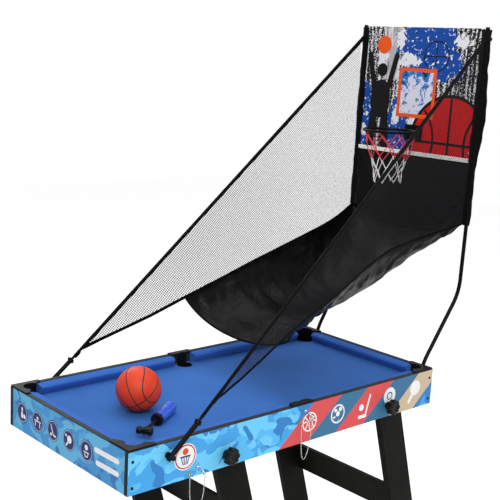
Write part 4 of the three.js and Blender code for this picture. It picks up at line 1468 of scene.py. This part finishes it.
def settle(grid, frames=34):
    """Hang the sheet from its hems and top edge; returns the settled grid in table mm."""
    me = bpy.data.meshes.new("sheet")
    me.from_pydata(metres(grid.reshape(-1, 3)).tolist(), [], grid_faces(ROWS, COLS))
    ob = link("sheet", me)
    group = ob.vertex_groups.new(name="pin")
    for i in range(ROWS):
        for j in range(COLS):
            if j in (0, LAST_COL) or i == ROWS - 1:
                group.add([i * COLS + j], 1.0, "REPLACE")
            elif i < 2:
                group.add([i * COLS + j], 0.06, "REPLACE")
    mod = ob.modifiers.new("cloth", "CLOTH")
    settings = dict(
        quality=6, mass=0.25, air_damping=1.0,
        tension_stiffness=18, compression_stiffness=5, shear_stiffness=4,
        bending_stiffness=0.06, tension_damping=8, compression_damping=8, bending_damping=0.5,
        vertex_group_mass="pin", pin_stiffness=4, shrink_min=-0.012)
    for key, value in settings.items():
        setattr(mod.settings, key, value)
    mod.collision_settings.use_collision = False
    mod.collision_settings.use_self_collision = False
    mod.point_cache.frame_start = 1
    mod.point_cache.frame_end = frames
    SCENE.frame_start = 1
    SCENE.frame_end = frames
    for frame in range(1, frames + 1):
        SCENE.frame_set(frame)
    settled = ob.evaluated_get(bpy.context.evaluated_depsgraph_get())
    co = np.zeros(grid.size, np.float32)
    settled.data.vertices.foreach_get("co", co)
    co = (co.reshape(-1, 3).astype(float) - ORIGIN) * 1000.0
    bpy.data.objects.remove(ob)
    bpy.data.meshes.remove(me)
    SCENE.frame_set(1)
    return co.reshape(grid.shape)


def blur(field, reach):
    weights = np.hanning(2 * reach + 1)
    weights /= weights.sum()
    for axis in (0, 1):
        pad = [(0, 0)] * 3
        pad[axis] = (reach, reach)
        padded = np.pad(field, pad, mode="edge")
        n = field.shape[axis]
        field = sum(weights[q] * np.take(padded, range(q, q + n), axis=axis)
                    for q in range(2 * reach + 1))
    return field


def calmed(base, settled, limit=20.0):
    """The settled sheet with its movement softened, faded at the hems and limited."""
    move = settled - base
    broad = blur(move, 9)
    from_hem = np.minimum(np.arange(COLS), LAST_COL - np.arange(COLS)) / 6.0
    fade = np.clip(from_hem, 0, 1)[None, :, None]
    move = (blur(move, 2) - broad) * 0.6 + broad * 0.35 * fade
    move *= np.clip(from_hem * 3, 0, 1)[None, :, None]
    size = np.linalg.norm(move, axis=2)
    keep = np.where(size > limit, limit / np.maximum(size, 1e-6), 1.0)
    return base + move * keep[..., None]


def fold_height(i, j):
    """Soft broad folds, and crossing creases gathered under the near hem."""
    s, u = i * ROW_STEP, j * COL_STEP
    from_hem = min(j, LAST_COL - j)
    back = min(1.0, max(0.0, (i - FLOOR_ROWS + 6) / 10.0))
    near = math.exp(-((j - 11) / 9.0) ** 2) * (1 - back) * min(1.0, i / 8.0)

    def ridge(x, y, seed, sharp=2.6):
        return 1 - abs(ripple(x, y, seed)) * sharp
    crease = (5.5 * ridge((s - 0.9 * u) * 0.017, (s + 0.9 * u) * 0.0055, 4.2)
              + 4.0 * ridge((s + 0.5 * u) * 0.021, (s - 0.5 * u) * 0.008, 11.2))
    broad = (7.0 * ripple((s + 0.35 * u) * 0.0085, u * 0.0035, 21.0)
             + 3.5 * ripple((s - 0.55 * u) * 0.014, u * 0.006, 31.0)
             + 2.5 * ridge((s - 0.8 * u) * 0.0075, (s + 0.8 * u) * 0.0022, 51.0, sharp=3.0))
    height = near * crease + (1 - near) * broad * (1 - 0.35 * back)
    return height * min(1.0, from_hem / 6.0) * min(1.0, (ROWS - 1 - i) / 6.0)


def folded(grid):
    folds = np.array([[fold_height(i, j) for j in range(COLS)] for i in range(ROWS)])
    front_fade = np.minimum(1.0, np.arange(ROWS) / 10.0 + 0.25)[:, None, None]
    grid = grid + sheet_normals(grid) * folds[..., None] * front_fade
    # extra sag across the middle of the chute's deep end
    across = np.sin(np.pi * np.arange(COLS) / LAST_COL) ** 0.7
    on_floor = np.clip((FLOOR_ROWS + 8 - np.arange(ROWS)) / 10.0, 0, 1)[:, None]
    sag = 12.0 * np.exp(-((grid[..., 0] - 1130) / 150.0) ** 2)
    grid[..., 2] -= sag * across[None, :] * on_floor
    return grid


def cloth_piece(name, rows, node):
    ob = mesh(name, [(rows.reshape(-1, 3), grid_faces(len(rows), COLS))], "cloth", HOOP,
              (node,), 0)
    ob.data.polygons.foreach_set("use_smooth", [True] * len(ob.data.polygons))
    solid = ob.modifiers.new("thick", "SOLIDIFY")
    solid.thickness = 0.9 / 1000
    solid.offset = 0
    fine = ob.modifiers.new("fine", "SUBSURF")
    fine.levels = fine.render_levels = 1


base = base_sheet()
sheet = rumpled(base)
sheet = calmed(base, settle(sheet))
sheet = folded(sheet)
cloth_piece("chute_cloth", sheet[:FLOOR_ROWS + 1], "ball_chute")
cloth_piece("rear_panel_cloth", sheet[FLOOR_ROWS:], "rear_cloth")
# binding on the front edge, and a seam roll where the two cloths are sewn together
mesh("chute_front_binding", [sweep(sheet[0], 1.5, 12, tall=3.4, up=(0, 0, 1))], "binding",
     HOOP, smooth=60)
mesh("chute_rear_seam", [sweep(sheet[FLOOR_ROWS], 1.5, 10)], "binding", HOOP,
     smooth=60)

# ------------------------------------------------------------------ ball
BALL = np.array([240, 295, BED_Z + REST_GAP + 66.0])
# directions at the ball: towards the camera, and right and up as the camera sees them
to_camera = -unit(BALL - CAM_AT)
view_right = square_to(CAM_RIGHT, to_camera)
view_up = np.cross(to_camera, view_right)


def ball_skin(radius=65.4, around=96, down=64):
    """Sphere with its poles on the line to the camera."""
    verts, faces = [], []
    for i in range(down + 1):
        th = PI * i / down
        for k in range(around):
            ph = 2 * PI * k / around
            verts.append(BALL + radius * (math.sin(th) * math.cos(ph) * view_right
                                          + math.sin(th) * math.sin(ph) * view_up
                                          + math.cos(th) * to_camera))
    for i in range(down):
        a, b = i * around, (i + 1) * around
        for k in range(around):
            k2 = (k + 1) % around
            if i == 0:
                faces.append([k, b + k, b + k2])
            elif i == down - 1:
                faces.append([a + k, b + k, a + k2])
            else:
                faces.append([a + k, b + k, b + k2, a + k2])
    return verts, faces


def ball_seam_tubes(radius=64.5, n=120):
    """Two great circles crossing at the seam pole, and a bowed seam on either side."""
    pole = unit(-0.05 * view_right - 0.69 * view_up + 0.72 * to_camera)
    long_axis = square_to(-0.40 * view_right + 0.915 * view_up, pole)
    side_axis = np.cross(long_axis, pole)
    turns = np.linspace(0, 2 * PI, n, endpoint=False)
    paths = [[BALL + radius * (math.cos(a) * pole + math.sin(a) * axis) for a in turns]
             for axis in (long_axis, side_axis)]
    for sign in (-1, 1):
        path = []
        for a in turns:
            tilt = math.radians(53 + 10 * math.cos(2 * a))
            round_axis = math.cos(a) * pole + math.sin(a) * long_axis
            path.append(BALL + radius * (sign * math.cos(tilt) * side_axis
                                         + math.sin(tilt) * round_axis))
        paths.append(path)
    return [sweep(path, 1.9, 12, closed=True) for path in paths]


weld(mesh("basketball", [ball_skin()], "ball", "ball", ("ball",), 60), 2e-5)
mesh("basketball_seams", ball_seam_tubes(), "seam", "ball", smooth=60)

# ------------------------------------------------------------------ pump
# The barrel lies on the bed from its cap to its nozzle; profiles are distances from the cap.
PUMP_Z = BED_Z + REST_GAP + 18.0
PUMP_CAP = np.array([213, 170, PUMP_Z])
PUMP_DIR = unit(np.array([325, 240, PUMP_Z]) - PUMP_CAP)
BARREL = [(5.5, 17.0), (6.2, 17.6), (8, 17.9), (60, 17.9), (61, 17.7), (62, 17.9), (106, 17.9),
          (112, 17.6), (117, 16.2), (121, 13.6), (125.5, 9.0), (127, 7.2), (128.4, 6.6),
          (128.8, 4.4)]
CAP = [(0.0, 5.0), (0.1, 15.6), (0.9, 17.2), (2.2, 18.0), (9.4, 18.0), (10.4, 17.6),
       (10.6, 17.0)]
NOZZLE = [(127.5, 3.6), (128.6, 3.6), (129.2, 2.9), (134, 2.6), (135.4, 2.3), (135.9, 1.4)]
ROD = [(-84, 4.2), (-83.8, 4.6), (-1, 4.6), (0, 3.6), (39.6, 3.6), (40, 3.2)]
HALF_GRIP = [(3, 7.9), (7, 8.6), (13, 10.4), (18, 11.4), (21.0, 10.4), (22.2, 8.0),
             (22.4, 1.0)]
GRIP = [(-d, r) for d, r in HALF_GRIP[::-1]] + HALF_GRIP
HUB = [(-9.5, 1.0), (-9.2, 6.0), (-8.0, 8.4), (7.5, 8.8), (12.8, 8.0), (15.6, 6.4),
       (16.6, 4.6)]
handle = PUMP_CAP - PUMP_DIR * 86
mesh("pump_tube", [lathe(PUMP_CAP, PUMP_DIR, BARREL, 56)], "pump", "pump",
     ("pump_barrel",), 35)
mesh("pump_cap", [lathe(PUMP_CAP, PUMP_DIR, CAP, 56), lathe(PUMP_CAP, PUMP_DIR, NOZZLE, 24)],
     "smooth_plastic", "pump", smooth=35)
mesh("pump_t_handle",
     [lathe(handle, (PUMP_DIR[1], -PUMP_DIR[0], 0), GRIP, 40),
      lathe(handle, PUMP_DIR, HUB, 36), lathe(PUMP_CAP, PUMP_DIR, ROD, 24)],
     "smooth_plastic", "pump_handle", ("pump_handle",), 40)

build_decals()


# ------------------------------------------------------------------ studio
def add_camera():
    data = bpy.data.cameras.new("camera")
    data.lens = 71.17
    data.sensor_width = 36
    data.clip_start = 0.05
    data.clip_end = 60
    camera = link("camera", data)
    columns = (CAM_RIGHT, -CAM_DOWN, -CAM_FORWARD, metres(CAM_AT))
    rows = [tuple(column[i] for column in columns) for i in range(3)]
    camera.matrix_world = Matrix(rows + [(0, 0, 0, 1)])
    SCENE.camera = camera


def add_floor():
    """Pale floor that looks brighter to the camera than it lights."""
    t = Shader("studio_floor")
    seen = t.add("ShaderNodeLightPath", {}, "Is Camera Ray")
    t.finish(
        Base_Color=t.span(t.noise(scale=3.0), (0.44, 0.44, 0.44, 1), (0.46, 0.46, 0.46, 1)),
        Roughness=0.9, Specular_IOR_Level=0.0,
        Emission_Color=(1, 1, 1, 1), Emission_Strength=0.30 + seen * 0.42)
    me = bpy.data.meshes.new("floor")
    me.from_pydata([(-9, -9, 0), (9, -9, 0), (9, 9, 0), (-9, 9, 0)], [], [(0, 1, 2, 3)])
    me.materials.append(t.material)
    floor = link("floor", me)
    floor.location.z = -0.0005


def add_world():
    """White surround: strength 0.58, raised by 0.42 where the camera sees it."""
    world = bpy.data.worlds.new("studio")
    SCENE.world = world
    world.use_nodes = True
    tree = world.node_tree
    background = tree.nodes["Background"]
    path = tree.nodes.new("ShaderNodeLightPath")
    strength = tree.nodes.new("ShaderNodeMath")
    strength.operation = "MULTIPLY_ADD"
    tree.links.new(path.outputs["Is Camera Ray"], strength.inputs[0])
    strength.inputs[1].default_value = 0.42
    strength.inputs[2].default_value = 0.58
    tree.links.new(strength.outputs[0], background.inputs[1])
    background.inputs[0].default_value = (1, 1, 1, 1)


def area_light(name, place, target, size, power):
    data = bpy.data.lights.new(name, "AREA")
    data.energy = power
    data.size = size
    ob = link(name, data)
    ob.location = place
    ob.rotation_euler = (Vector(target) - Vector(place)).to_track_quat("-Z", "Y").to_euler()


add_camera()
add_floor()
add_world()
area_light("key", (-2.2, -2.6, 3.2), target=(0.1, 0, 0.9), size=1.6, power=75)
area_light("fill", (2.6, -2.4, 2.2), target=(0.2, 0, 0.9), size=2.2, power=30)
area_light("back", (0.6, 3.0, 3.0), target=(0.2, 0, 1.0), size=2.0, power=40)
area_light("top", (0, 0, 4.2), target=(0, 0, 0.8), size=2.6, power=45)
SCENE.view_settings.view_transform = "Standard"
SCENE.view_settings.look = "None"
SCENE.view_settings.exposure = 0.0
